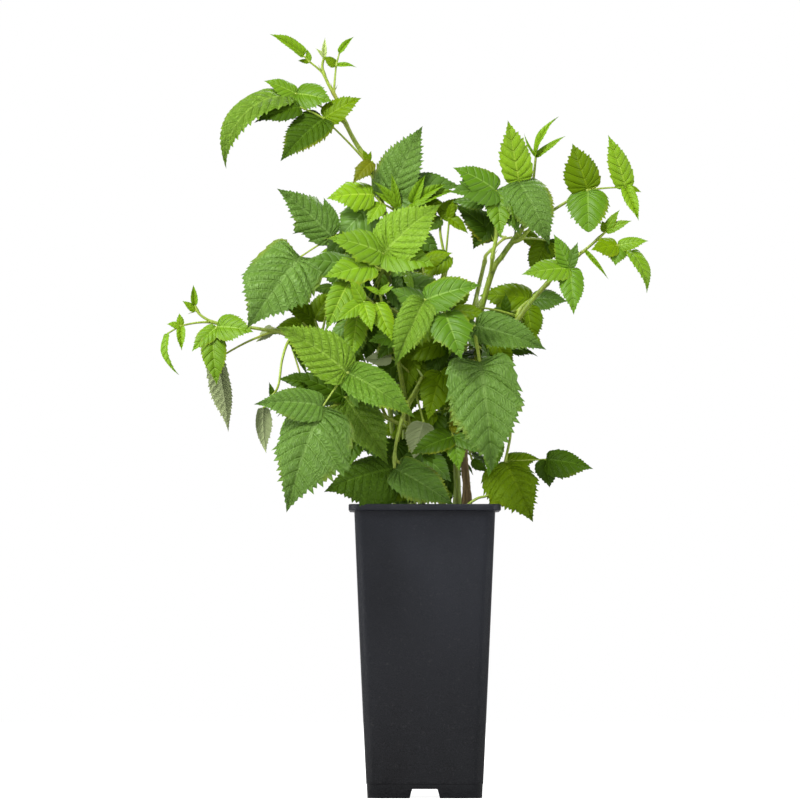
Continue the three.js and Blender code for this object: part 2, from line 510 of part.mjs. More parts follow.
function makeLeaflet({ root, along, look, length, width, arch = LEAF_ARCH, roll = 0 }) {
  const normal = look.clone().addScaledVector(along, -look.dot(along)).normalize();
  normal.applyAxisAngle(along, radians(roll));
  const across = along.clone().cross(normal);
  const bend = radians(arch);
  const half = width / 2;
  const thick = length * LEAF_THICKNESS_SHARE;
  const fold = radians(LEAF_FOLD);
  const rib = (share) => root.clone()
    .addScaledVector(along, (Math.sin(bend * (share - 0.5)) + Math.sin(bend / 2)) * length / bend)
    .addScaledVector(normal, (Math.cos(bend * (share - 0.5)) - Math.cos(bend / 2)) * length / bend);
  const points = [];
  const station = (middle, upward, reach, depth, lift) => {
    const side = reach * Math.cos(lift);
    const rise = reach * Math.sin(lift);
    points.push(middle.clone().addScaledVector(across, -side).addScaledVector(upward, rise));
    points.push(middle.clone().addScaledVector(upward, depth / 2));
    points.push(middle.clone().addScaledVector(across, side).addScaledVector(upward, rise));
    points.push(middle.clone().addScaledVector(upward, -depth / 2));
  };
  station(root.clone().addScaledVector(along, ROOT_START), normal, LEAF_ROOT_HALF, 2 * LEAF_ROOT_HALF, 0);
  const stations = length < SMALL_LEAF ? SMALL_LEAF_STATIONS : LEAF_STATIONS;
  for (const [share, spread] of stations) {
    const lean = bend * (share - 0.5);
    const upward = normal.clone().multiplyScalar(Math.cos(lean)).addScaledVector(along, Math.sin(lean));
    station(rib(share), upward, half * spread, thick, fold);
  }
  points.push(rib(1));
  const faces = [[0, 2, 1], [0, 3, 2]];
  for (let ring = 0; ring < stations.length; ring += 1) {
    for (let i = 0; i < 4; i += 1) {
      const a = ring * 4 + i;
      const b = ring * 4 + ((i + 1) % 4);
      faces.push([a, b, b + 4], [a, b + 4, a + 4]);
    }
  }
  const last = stations.length * 4;
  for (let i = 0; i < 4; i += 1) {
    faces.push([last + i, last + ((i + 1) % 4), last + 4]);
  }
  return geometryOf(points, faces);
}

// One leaflet from its row in the plan.
function plannedLeaflet(root, [hour, lean, length, ratio, habit = {}]) {
  const face = radians(habit.face ?? LEAF_FACE);
  return {
    root,
    along: clockWay(hour, lean),
    look: new THREE.Vector3(0, -Math.cos(face), Math.sin(face)),
    length,
    width: length * ratio,
    ...habit,
  };
}

function plannedLeaf(stem, row) {
  const foot = stem.getPoint(row.at);
  const hub = row.hub ? vector(row.hub) : foot;
  const leaflets = row.leaflets.map((leaflet) => plannedLeaflet(hub, leaflet));
  const stalks = row.hub ? [{ from: foot, to: hub, radius: STALK_RADIUS }] : [];
  if (row.end) {
    const end = vector(row.end);
    stalks.push({ from: hub, to: end, radius: RACHIS_RADIUS });
    leaflets.push(...row.last.map((leaflet) => plannedLeaflet(end, leaflet)));
  }
  return { stalks, leaflets };
}

// The way of a compass turn, 0 to the right and 90 to the back, rising by some degrees.
function compassWay(turn, rise) {
  const flat = Math.cos(radians(rise));
  return new THREE.Vector3(
    Math.cos(radians(turn)) * flat,
    Math.sin(radians(turn)) * flat,
    Math.sin(radians(rise)),
  );
}

const between = ([low, high], random) => low + (high - low) * random();

// A seeded leaf stands off its stem on a stalk of its own, and its three leaflets face up and outwards.
function seededLeaf(stem, share, turn, size, random) {
  const foot = stem.getPoint(share);
  const stalkWay = compassWay(turn, between(STALK_RISE, random));
  const hub = foot.clone().addScaledVector(stalkWay, size * between(SEEDED_STALK, random));
  const leafWay = compassWay(turn, between(LEAF_DROOP, random));
  const end = hub.clone().addScaledVector(leafWay, size * SEEDED_RACHIS);
  const look = compassWay(turn, SEEDED_LOOK_RISE);
  const length = size * between(SEEDED_TERMINAL, random);
  const blade = (root, along, long) => ({ root, along, look, length: long, width: long * SEEDED_RATIO });
  const normal = look.clone().addScaledVector(leafWay, -look.dot(leafWay)).normalize();
  const sideWay = (hand) => leafWay.clone().applyAxisAngle(normal, hand * radians(SEEDED_SIDE_TURN));
  return {
    stalks: [
      { from: foot, to: hub, radius: STALK_RADIUS },
      { from: hub, to: end, radius: RACHIS_RADIUS },
    ],
    leaflets: [
      blade(end, leafWay, length),
      ...[-1, 1].map((hand) => blade(hub, sideWay(hand), length * SEEDED_SIDE_SHARE)),
    ],
  };
}

// Points along a stretch, a clearance apart or less, without its start.
function pointsBetween(from, to) {
  const count = Math.ceil(from.distanceTo(to) / CLEARANCE);
  return Array.from({ length: count }, (_, i) => from.clone().lerp(to, (i + 1) / count));
}

// Points spread over a leaf, close enough together that no limb slips between them. In each ring of
// a leaflet the first three points are its left edge, the top of its rib and its right edge.
function samplesOf(leaf) {
  const samples = leaf.stalks.flatMap(({ from, to }) => pointsBetween(from, to));
  for (const leaflet of leaf.leaflets) {
    const places = makeLeaflet(leaflet).getAttribute('position');
    const at = (i) => new THREE.Vector3().fromBufferAttribute(places, i);
    const tip = places.count - 1;
    for (let ring = 0; ring < tip; ring += 4) {
      const next = (line) => at(Math.min(ring + 4 + line, tip));
      const [left, rib, right] = [0, 1, 2].map((line) => pointsBetween(at(ring + line), next(line)));
      const halfway = (place, i) => place.clone().lerp(rib[Math.min(i, rib.length - 1)], 0.5);
      samples.push(...left, ...rib, ...right, ...left.map(halfway), ...right.map(halfway));
    }
  }
  return samples;
}

function insideSpace(samples, [low, high]) {
  const space = new THREE.Box3(vector(low), vector(high));
  return samples.every((sample) => space.containsPoint(sample));
}

function clearOf(samples, taken, clearance) {
  return samples.every((sample) => taken.every((other) => sample.distanceTo(other) > clearance));
}

function makeStalk({ from, to, radius }) {
  return tube([from, to], radius, radius * STALK_TAPER, STALK_SIDES, 1);
}

function knobAt(place) {
  const knob = new THREE.TetrahedronGeometry(KNOB_RADIUS);
  knob.translate(place.x, place.y, place.z);
  return knob;
}

function fuse(stemGeometry, leaves) {
  const pieces = [stemGeometry];
  for (const { stalks, leaflets } of leaves) {
    const roots = new Set(leaflets.map((leaflet) => leaflet.root));
    pieces.push(...stalks.map(makeStalk), ...[...roots].map(knobAt), ...leaflets.map(makeLeaflet));
  }
  return geometryFrom(pieces.map(solidOf).reduce((whole, piece) => whole.add(piece)));
}

function makeStem(points, radii) {
  return tube(points, ...radii, STEM_SIDES, points.length - 1);
}

function plannedShoot(row, limbs) {
  const points = row.stem.map(vector);
  points.unshift(...startOn(limbs.get(row.on[0]), row.on[1], points[0], row.radii[0]));
  const path = curveThrough(points);
  const leaves = row.leaves.map((leaf) => plannedLeaf(path, leaf));
  return { name: row.name, path, stem: makeStem(points, row.radii), leaves };
}

function seededShoot(row, limbs, taken) {
  const random = seededRandom(row.seed);
  const way = compassWay(row.toward, row.rise);
  const limb = limbs.get(row.on[0]);
  const from = curveThrough(limb.path).getPoint(shareOn(limb, row.on[1]));
  const middle = from.clone().addScaledVector(way, row.reach * SEEDED_STEM_MIDDLE);
  const tip = from.clone().addScaledVector(way, row.reach);
  tip.z -= row.reach * SEEDED_STEM_SAG;
  const points = [...startOn(limb, row.on[1], middle, SEEDED_STEM_RADII[0]), middle, tip];
  const path = curveThrough(points);
  const leaves = [];
  for (let i = 0; i < row.leaves * SEEDED_TRIES && leaves.length < row.leaves; i += 1) {
    const share = between([SEEDED_BARE_SHARE, 1], random);
    const turn = row.toward + between([-SEEDED_SPREAD / 2, SEEDED_SPREAD / 2], random);
    const leaf = seededLeaf(path, share, turn, row.size, random);
    const samples = samplesOf(leaf);
    if (insideSpace(samples, row.space) && clearOf(samples, taken, CLEARANCE)
      && clearOf(samples, leaves.flatMap(samplesOf), OWN_CLEARANCE)) {
      leaves.push(leaf);
    }
  }
  return { name: row.name, path, stem: makeStem(points, SEEDED_STEM_RADII), leaves };
}

// ---- The whole plant
function growPlant() {
  const limbs = growLimbs();
  const planned = SHOOTS.map((row) => plannedShoot(row, limbs));
  const taken = [];
  for (const limb of limbs.values()) {
    taken.push(...curveThrough(limb.path).getPoints(LIMB_SAMPLES));
  }
  for (const shoot of planned) {
    taken.push(...shoot.path.getPoints(STEM_SAMPLES), ...shoot.leaves.flatMap(samplesOf));
  }
  const seeded = [];
  for (const row of SEEDED_SHOOTS) {
    const shoot = seededShoot(row, limbs, taken);
    seeded.push(shoot);
    taken.push(...shoot.path.getPoints(STEM_SAMPLES), ...shoot.leaves.flatMap(samplesOf));
  }
  return { limbs, shoots: [...planned, ...seeded] };
}

const plant = new THREE.Group();
plant.position.x = CROWN_SHIFT_X;
plant.add(makePot(), makeCompost());
const { limbs, shoots } = growPlant();
for (const limb of limbs.values()) {
  const bark = tube(limb.path, ...limb.radii, CANE_SIDES, ringsOn(limb.path), limb.flare);
  plant.add(meshOf(limb.name, bark, limb.name === 'cane_woody' ? WOODY_CANE : GREEN_CANE));
}
for (const shoot of shoots) {
  plant.add(meshOf(shoot.name, fuse(shoot.stem, shoot.leaves), LEAF));
}

export default plant;
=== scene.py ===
# %% [markdown]
# # A raspberry plant in its nursery pot
#
# A young raspberry is sold in a deep square pot, with several green canes, side shoots, and leaves of three
# or five toothed leaflets. The frame that is loaded first is a plain model of it at its real size. It says
# where the pot, each cane and each mass of leaves lies. This lesson makes the finished pieces over that
# frame: moulded plastic, crumbly compost, bark, thin stalks, and leaflets with veins and teeth.

# %% Load the frame
import math
import bmesh
import bpy
import numpy as np
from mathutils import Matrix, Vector
from mathutils.kdtree import KDTree


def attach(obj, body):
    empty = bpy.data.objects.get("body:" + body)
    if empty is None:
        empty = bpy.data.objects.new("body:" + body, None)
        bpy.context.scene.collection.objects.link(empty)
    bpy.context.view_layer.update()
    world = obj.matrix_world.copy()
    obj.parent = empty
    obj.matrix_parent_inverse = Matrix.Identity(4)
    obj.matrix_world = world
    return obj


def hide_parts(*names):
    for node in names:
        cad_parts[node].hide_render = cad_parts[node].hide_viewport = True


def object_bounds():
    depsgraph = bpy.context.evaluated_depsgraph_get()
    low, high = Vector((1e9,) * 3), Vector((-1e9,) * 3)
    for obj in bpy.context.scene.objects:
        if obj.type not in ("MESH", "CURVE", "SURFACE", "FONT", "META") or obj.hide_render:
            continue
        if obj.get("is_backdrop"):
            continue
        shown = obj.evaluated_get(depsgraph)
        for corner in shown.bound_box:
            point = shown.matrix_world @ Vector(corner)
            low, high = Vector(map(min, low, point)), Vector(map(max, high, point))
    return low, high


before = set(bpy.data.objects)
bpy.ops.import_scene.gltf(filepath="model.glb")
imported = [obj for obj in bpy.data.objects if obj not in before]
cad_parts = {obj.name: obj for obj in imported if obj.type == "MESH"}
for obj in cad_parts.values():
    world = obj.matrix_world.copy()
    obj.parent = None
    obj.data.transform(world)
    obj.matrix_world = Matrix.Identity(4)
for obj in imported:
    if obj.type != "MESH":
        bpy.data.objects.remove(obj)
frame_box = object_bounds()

print("frame box", [[round(value, 4) for value in corner] for corner in frame_box])

# %% [markdown]
# ## Tools for finishes
#
# Every finish is a Principled shader whose colours and relief come from noise on the object's own
# coordinates, so that it is at its real scale and needs no picture. Nodes could be placed one by one, but
# a bench that adds a node and feeds its sockets in one line is easier to read. Colours are written as on a
# colour card, two hex digits each for red, green and blue, and one helper turns them into light amounts.
# Several finishes have soft patches of two colours, so the patches are one node group with its own scale
# and stretch, placed in each of them.

# %% Helpers for finishes
def colour(card):
    """A colour card such as 7a8f3a as the light amounts that a shader takes."""
    parts = [int(card[i:i + 2], 16) / 255 for i in (0, 2, 4)]
    return [p / 12.92 if p <= 0.04045 else ((p + 0.055) / 1.055) ** 2.4 for p in parts] + [1]


def add_socket(group, name, way, kind, value=None):
    """A named way into or out of a node group."""
    socket = group.interface.new_socket(name=name, in_out=way, socket_type="NodeSocket" + kind)
    if value is not None:
        socket.default_value = value


class Bench:
    """A node tree being built, with helpers that add one node each."""

    def __init__(self, tree):
        self.tree = tree

    def link(self, source, target):
        """Feeds a socket from a colour, a number or another node's socket."""
        if isinstance(source, bpy.types.NodeSocket):
            self.tree.links.new(source, target)
        else:
            target.default_value = source

    def add(self, kind, feeds=None, **settings):
        """One node with its settings, and what feeds its sockets."""
        node = self.tree.nodes.new(kind)
        for name, value in settings.items():
            setattr(node, name, value)
        for socket, source in (feeds or {}).items():
            self.link(source, node.inputs[socket])
        return node

    def attribute(self, name):
        """A number that the mesh holds at its points."""
        return self.add("ShaderNodeAttribute", attribute_name=name).outputs["Fac"]

    def sum_of(self, operation, *numbers):
        """One step of arithmetic."""
        return self.add("ShaderNodeMath", dict(enumerate(numbers)), operation=operation).outputs["Value"]

    def part(self, mask, share):
        """A mask made fainter."""
        return self.sum_of("MULTIPLY", mask, share)

    def ramp(self, value, low, high, kind="SMOOTHSTEP"):
        """From 0 to 1 while a value goes from one level to another, softly or by the kind given."""
        feeds = {"Value": value, "From Min": low, "From Max": high}
        return self.add("ShaderNodeMapRange", feeds, interpolation_type=kind).outputs["Result"]


def make_patches():
    """Soft patches from 0 to 1, with noise of a scale, a stretch and the two levels between them."""
    group = bpy.data.node_groups.new("patches", "ShaderNodeTree")
    add_socket(group, "Scale", "INPUT", "Float", 100)
    add_socket(group, "Stretch", "INPUT", "Vector", (1, 1, 1))
    add_socket(group, "Detail", "INPUT", "Float", 3)
    add_socket(group, "Low", "INPUT", "Float", 0.35)
    add_socket(group, "High", "INPUT", "Float", 0.65)
    add_socket(group, "Mask", "OUTPUT", "Float")
    bench = Bench(group)
    given = bench.add("NodeGroupInput").outputs
    places = bench.add("ShaderNodeTexCoord").outputs["Object"]
    stretch = bench.add("ShaderNodeVectorMath", {0: places, 1: given["Stretch"]}, operation="MULTIPLY")
    feeds = {"Vector": stretch.outputs["Vector"], "Scale": given["Scale"], "Detail": given["Detail"]}
    noise = bench.add("ShaderNodeTexNoise", feeds).outputs["Fac"]
    bench.add("NodeGroupOutput", {"Mask": bench.ramp(noise, given["Low"], given["High"], "LINEAR")})
    return group


PATCHES = make_patches()


class Finish(Bench):
    """A material being mixed: its Principled shader, and helpers that place nodes before it."""

    def __init__(self, name, roughness, gloss):
        self.material = bpy.data.materials.new(name)
        self.material.use_nodes = True
        super().__init__(self.material.node_tree)
        self.shader = self.tree.nodes["Principled BSDF"]
        self.shader.inputs["Roughness"].default_value = roughness
        self.shader.inputs["Specular IOR Level"].default_value = gloss
        self.relief = None

    def patches(self, scale, stretch=(1, 1, 1), detail=3, low=0.35, high=0.65):
        """A mask from 0 to 1 from the patches group."""
        feeds = {"Scale": scale, "Stretch": stretch, "Detail": detail, "Low": low, "High": high}
        return self.add("ShaderNodeGroup", feeds, node_tree=PATCHES).outputs["Mask"]

    def height(self):
        """How high a place is over the floor, in metres."""
        places = self.add("ShaderNodeTexCoord").outputs["Object"]
        return self.add("ShaderNodeSeparateXYZ", {"Vector": places}).outputs["Z"]

    def mix(self, mask, under, over):
        """One tone where the mask is 0 and another where it is 1. A tone is a card or an output."""
        under, over = [colour(tone) if isinstance(tone, str) else tone for tone in (under, over)]
        return self.add("ShaderNodeMix", {"Factor": mask, 6: under, 7: over}, data_type="RGBA").outputs[2]

    def tinge(self, tone, mask, share, card):
        """A tone with a share of a card's colour laid over it where the mask is 1."""
        return self.mix(self.part(mask, share), tone, card)

    def raise_by(self, height, distance, strength):
        """Relief from a mask, on top of what is there already."""
        feeds = {"Strength": strength, "Distance": distance, "Height": height}
        if self.relief:
            feeds["Normal"] = self.relief
        self.relief = self.add("ShaderNodeBump", feeds).outputs["Normal"]

    def done(self, base):
        """Joins the base colour and the relief to the shader."""
        self.link(base, self.shader.inputs["Base Color"])
        if self.relief:
            self.link(self.relief, self.shader.inputs["Normal"])
        return self.material


print("groups", [group.name for group in bpy.data.node_groups])

# %% [markdown]
# ## Camera
#
# A plant with its pot is seen well from straight in front, at about the height of the rim. A camera that
# stands far off with a long lens keeps the pot's sides as straight as they are. The lens angle could be
# tried by hand, but here it is worked out from the width that the picture takes in at the plant.

# %% Camera
CAMERA_PLACE = (-0.005, -5.0, 0.15)
CAMERA_AIM = (-0.005, 0.0, 0.302)
PICTURE_WIDTH = 0.6096  # metres that the picture takes in at the plant


def toward(place, aim):
    """The turn that points a camera or a lamp from a place to an aim."""
    return (Vector(aim) - Vector(place)).to_track_quat("-Z", "Y").to_euler()


bpy.ops.object.camera_add(location=CAMERA_PLACE, rotation=toward(CAMERA_PLACE, CAMERA_AIM))
camera = bpy.context.object
camera.data.angle = 2 * math.atan(PICTURE_WIDTH / 2 / (CAMERA_AIM[1] - CAMERA_PLACE[1]))
camera.data.clip_end = 20
bpy.context.scene.camera = camera
print("lens angle", round(math.degrees(camera.data.angle), 2), "degrees")

# %% [markdown]
# ## Studio
#
# One small bright lamp would do for a plain pot, but it would cast hard shadows of one leaf on the next.
# Leaves are shown best by wide soft light, as in a white room. The key lamp hangs above on the left and
# gives the shine and the shade, and four wide weaker ones in front, at both sides and behind keep the inner
# leaves from going black. What the camera sees of the room can be brighter than what lights the plant, so
# the world has two backgrounds, and a ray from the camera takes the white one. The floor is plain and pale.

# %% Studio
WHITE = (1, 1, 1, 1)
ROOM_LIGHT = 0.36
FLOOR_SIZE = 6.0
FLOOR_GLOW = 0.95  # what a ray from the camera sees of the floor is made paler by this
LAMPS = {  # place in metres, side in metres, power in watts
    "lamp_key": ((-0.95, -1.5, 2.1), 0.7, 92),
    "lamp_front": ((-0.4, -3.2, 0.8), 1.6, 26),
    "lamp_left": ((-2.2, -0.5, 0.9), 1.2, 44),
    "lamp_right": ((2.2, -0.7, 0.9), 1.0, 32),
    "lamp_back": ((0.5, 2.0, 1.9), 1.4, 52),
}
PLANT_MIDDLE = (0.0, 0.0, 0.32)

view_settings = bpy.context.scene.view_settings
view_settings.view_transform = "Standard"

world = bpy.data.worlds.new("white_room")
bpy.context.scene.world = world
world.use_nodes = True
room = Bench(world.node_tree)
seen = room.tree.nodes["Background"]
seen.inputs["Color"].default_value = WHITE
lights_plant = room.add("ShaderNodeBackground", {"Color": WHITE, "Strength": ROOM_LIGHT})
choice = room.add("ShaderNodeMixShader", {
    "Fac": room.add("ShaderNodeLightPath").outputs["Is Camera Ray"],
    1: lights_plant.outputs["Background"],
    2: seen.outputs["Background"],
})
room.link(choice.outputs["Shader"], room.tree.nodes["World Output"].inputs["Surface"])

for lamp_name, (place, side, power) in LAMPS.items():
    bpy.ops.object.light_add(type="AREA", location=place, rotation=toward(place, PLANT_MIDDLE))
    lamp = bpy.context.object
    lamp.name = lamp_name
    lamp.data.size = side
    lamp.data.energy = power


def pale_floor():
    finish = Finish("pale_floor", 0.9, 0.1)
    to_camera = finish.add("ShaderNodeLightPath").outputs["Is Camera Ray"]
    finish.shader.inputs["Emission Color"].default_value = WHITE
    finish.link(finish.part(to_camera, FLOOR_GLOW), finish.shader.inputs["Emission Strength"])
    return finish.done(colour("9c9c9c"))


bpy.ops.mesh.primitive_plane_add(size=FLOOR_SIZE, location=(0, 0, 0))
floor = bpy.context.object
floor.name = "floor"
floor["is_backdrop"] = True
floor.data.materials.append(pale_floor())
print("lamps", list(LAMPS))

# %% [markdown]
# ## Tools for shaping by hand
#
# The pot is modelled as one would at the screen: a primitive is added, faces or edges are selected, and
# an operator shapes them. In code a selection is a test on where a face, an edge or a point lies. The
# sizes are the frame's own, written in millimetres and turned into metres where they are used.

# %% Helpers for shaping
MILLIMETRE = 0.001
CROWN_SHIFT_X = 13.7  # from the middle of the whole plant's width to the pot's middle, in millimetres
POT_X = CROWN_SHIFT_X * MILLIMETRE


def mm(size):
    return size * MILLIMETRE


def deselect():
    """Object mode, with nothing selected."""
    if bpy.context.object and bpy.context.object.mode != "OBJECT":
        bpy.ops.object.mode_set(mode="OBJECT")
    bpy.ops.object.select_all(action="DESELECT")


def only(piece):
    """The piece alone, selected and active, in object mode."""
    deselect()
    piece.select_set(True)
    bpy.context.view_layer.objects.active = piece


def level_of(face):
    """The height of the middle of a face."""
    return sum(point.co.z for point in face.verts) / len(face.verts)


def is_top(face):
    """Whether a face looks up."""
    return face.normal.z > 0.9


def pick(piece, kind, test):
    """Selects the faces, edges or points that pass the test, and nothing else, in edit mode."""
    bpy.ops.mesh.select_mode(type=kind)
    bpy.ops.mesh.select_all(action="DESELECT")
    shape = bmesh.from_edit_mesh(piece.data)
    for item in {"FACE": shape.faces, "EDGE": shape.edges, "VERT": shape.verts}[kind]:
        item.select_set(bool(test(item)))
    shape.select_flush_mode()
    bmesh.update_edit_mesh(piece.data)


def add_block(name, width, depth, low, high):
    """A block in the middle of the pot, its sizes and heights in millimetres."""
    deselect()
    bpy.ops.mesh.primitive_cube_add(size=1, location=(POT_X, 0, mm((low + high) / 2)))
    block = bpy.context.object
    block.name = name
    block.data.name = name
    block.scale = (mm(width), mm(depth), mm(high - low))
    bpy.ops.object.transform_apply(location=True, rotation=True, scale=True)
    return block


def spread(factor_x, factor_y):
    """Resizes what is selected about the pot's upright middle line."""
    bpy.ops.transform.resize(value=(factor_x, factor_y, 1), center_override=(POT_X, 0, 0))


def cut_across(places, way):
    """Cuts all faces with planes that face a way, through places in millimetres."""
    for place in places:
        bpy.ops.mesh.select_all(action="SELECT")
        through = Vector(way) * mm(place)
        through.x += POT_X
        bpy.ops.mesh.bisect(plane_co=through, plane_no=way)


def apply_modifier(piece, kind, **settings):
    """Adds a modifier, gives it its settings and applies it."""
    only(piece)
    modifier = piece.modifiers.new(kind.lower(), kind)
    for name, value in settings.items():
        setattr(modifier, name, value)
    bpy.ops.object.modifier_apply(modifier=modifier.name)


def keep(piece, finishes, nodes, smooth=30):
    """Finishes a piece: its materials, its smooth faces, its body and the nodes it stands for."""
    piece.data.materials.clear()
    for material in finishes:
        piece.data.materials.append(material)
    only(piece)
    bpy.ops.object.shade_smooth_by_angle(angle=math.radians(smooth))
    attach(piece, "root")
    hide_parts(*nodes)
    print(piece.name, len(piece.data.polygons), "faces")


# %% [markdown]
# ## Pot: finish
#
# The pot is moulded black plastic. It isn't one black: it is clouded where hands and water have been, and
# holds a trace of dust. It is also made paler towards the top and darker at the foot, which is painted
# light and shade, since more light falls on the top. Its fine grain catches the light as tiny specks. One
# dark colour with a shine could do from afar, but close by it would look like paint, so the grain is both a
# paler colour and a fine relief, and the clouds change the roughness too.

# %% Pot finish
def pot_plastic():
    finish = Finish("pot_plastic", 0.5, 0.15)
    grain = finish.patches(1500, low=0.3, high=0.7, detail=2)
    clouds = finish.patches(28, stretch=(1, 1, 0.5))
    dust = finish.patches(420, low=0.62, high=0.72, detail=4)
    finish.raise_by(grain, mm(0.16), 0.75)
    finish.raise_by(clouds, mm(0.5), 0.12)
    # Painted light and shade: near black at the foot, paler grey towards the rim, where more light falls.
    tone = finish.mix(finish.ramp(finish.height(), 0, mm(POT_HEIGHT)), "010102", "1e2026")
    tone = finish.tinge(tone, clouds, 0.4, "111317")
    tone = finish.tinge(tone, grain, 0.3, "303135")
    tone = finish.tinge(tone, dust, 0.05, "6c6a66")
    finish.link(finish.sum_of("MULTIPLY_ADD", clouds, 0.1, 0.3), finish.shader.inputs["Roughness"])
    return finish.done(tone)


# %% [markdown]
# ## Pot: shape
#
# The body is a block that gets wider upwards, with rounded upright corners. The rim is extruded outwards
# from its top and turned back down inside, all from the one top face, so that the wall is a true shell. A
# fine step runs round the foot where the mould parted. The cross of channels that drains the pot is cut by
# two tapered blocks. The walls are then cut into strips, because a real thin wall isn't quite flat and
# bows out a little between its corners. Two of the cuts run just over the channels, so that no long thin
# face is left there to shade badly.

# %% Pot shape
POT_HEIGHT = 222
POT_RIM_SIDE = 115
POT_RIM_DEPTH = 5.2
POT_TOP_SIDE = 106.5
POT_FOOT_SIDE = 87.5
POT_FOOT_STEP = 10.5
POT_WALL = 1.8
POT_FLOOR = 10
POT_CORNER = 8.5
RIM_ROUNDING = 0.6
CHANNEL_HEIGHT = 7
CHANNEL_TOP_WIDTH = 19
CHANNEL_FOOT_WIDTH = 23.5
STEP_DEPTH = 0.35
WALL_BOW = 0.55  # how far the middle of a wall stands out
WALL_CUTS = range(-40, 41, 16)
HEIGHT_CUTS = [14, 20, *range(30, 210, 30)]
SEAM = 0.3


def body_side(height):
    """The outer side of the body at a height, under the rim."""
    return POT_FOOT_SIDE + (POT_TOP_SIDE - POT_FOOT_SIDE) * height / (POT_HEIGHT - POT_RIM_DEPTH)


def extrude_to(piece, side, height):
    """Extrudes the selected top face to a new side and height."""
    shape = bmesh.from_edit_mesh(piece.data)
    chosen = [face for face in shape.faces if face.select]
    now = max(abs(point.co.y) for face in chosen for point in face.verts) * 2
    level = level_of(chosen[0])
    bpy.ops.mesh.extrude_region()
    spread(mm(side) / now, mm(side) / now)
    bpy.ops.transform.translate(value=(0, 0, mm(height) - level))


def cut_channel(pot, turned):
    """Cuts one drainage channel across the foot."""
    length = POT_RIM_SIDE
    size = (CHANNEL_FOOT_WIDTH, length) if turned else (length, CHANNEL_FOOT_WIDTH)
    cutter = add_block("cutter", *size, -1, CHANNEL_HEIGHT)
    bpy.ops.object.mode_set(mode="EDIT")
    pick(cutter, "FACE", is_top)
    narrower = CHANNEL_TOP_WIDTH / CHANNEL_FOOT_WIDTH
    spread(*((narrower, 1) if turned else (1, narrower)))
    bpy.ops.object.mode_set(mode="OBJECT")
    apply_modifier(pot, "BOOLEAN", operation="DIFFERENCE", solver="EXACT", object=cutter)
    bpy.data.objects.remove(cutter)


def bow_walls(pot):
    """Lets the middle of each wall stand out a little, most at half height."""
    for point in pot.data.vertices:
        x, y, z = point.co.x - POT_X, point.co.y, point.co.z
        side = mm(body_side(z / MILLIMETRE)) / 2
        if max(abs(x), abs(y)) < side - mm(3 * POT_WALL):
            continue
        along = math.cos(math.pi / 2 * min(abs(x), abs(y)) / side)
        lift = mm(WALL_BOW) * along * max(0, math.sin(math.pi * z / mm(POT_HEIGHT))) ** 0.7
        if abs(x) > abs(y):
            point.co.x += math.copysign(lift, x)
        else:
            point.co.y += math.copysign(lift, y)


def make_pot():
    rim_foot = POT_HEIGHT - POT_RIM_DEPTH
    pot = add_block("pot_shell", POT_FOOT_SIDE, POT_FOOT_SIDE, 0, rim_foot)
    bpy.ops.object.mode_set(mode="EDIT")
    pick(pot, "FACE", is_top)
    spread(POT_TOP_SIDE / POT_FOOT_SIDE, POT_TOP_SIDE / POT_FOOT_SIDE)
    pick(pot, "EDGE", lambda edge: abs(edge.verts[0].co.z - edge.verts[1].co.z) > mm(rim_foot / 2))
    bpy.ops.mesh.bevel(offset=mm(POT_CORNER), segments=8, affect="EDGES")
    cut_across([POT_FOOT_STEP, POT_FOOT_STEP + 0.5], (0, 0, 1))
    pick(pot, "VERT", lambda point: point.co.z < mm(POT_FOOT_STEP + 0.1))
    shrink = 1 - 2 * STEP_DEPTH / POT_FOOT_SIDE
    spread(shrink, shrink)
    pick(pot, "FACE", lambda face: is_top(face) and level_of(face) > mm(rim_foot - 1))
    extrude_to(pot, POT_RIM_SIDE - RIM_ROUNDING, rim_foot + RIM_ROUNDING / 2)
    extrude_to(pot, POT_RIM_SIDE, rim_foot + 1.5 * RIM_ROUNDING)
    extrude_to(pot, POT_RIM_SIDE, POT_HEIGHT - RIM_ROUNDING)
    extrude_to(pot, POT_RIM_SIDE - 2 * RIM_ROUNDING, POT_HEIGHT)
    extrude_to(pot, body_side(POT_HEIGHT) - 2 * POT_WALL, POT_HEIGHT)
    extrude_to(pot, body_side(POT_FLOOR) - 2 * POT_WALL, POT_FLOOR)
    cut_across(WALL_CUTS, (1, 0, 0))
    cut_across(WALL_CUTS, (0, 1, 0))
    cut_across(HEIGHT_CUTS, (0, 0, 1))
    bpy.ops.mesh.select_all(action="SELECT")
    bpy.ops.mesh.normals_make_consistent(inside=False)
    bpy.ops.object.mode_set(mode="OBJECT")
    for turned in (False, True):
        cut_channel(pot, turned)
    bow_walls(pot)
    sharp = math.radians(35)
    apply_modifier(pot, "BEVEL", width=mm(0.5), segments=2, limit_method="ANGLE", angle_limit=sharp)
    keep(pot, [pot_plastic()], ["pot"])


make_pot()

# %% [markdown]
# ## Compost
#
# The pot is filled to a little under its rim with dark fibrous compost. A flat brown face would look like
# a lid, so the top is cut into small faces that are shaken by a few tenths of a millimetre, and crumbs and
# pale fibres lie on it. A crumb is an icosphere. It is modelled once, and its points are copied with a turn
# and a size of their own, all into one mesh, because there are hundreds.

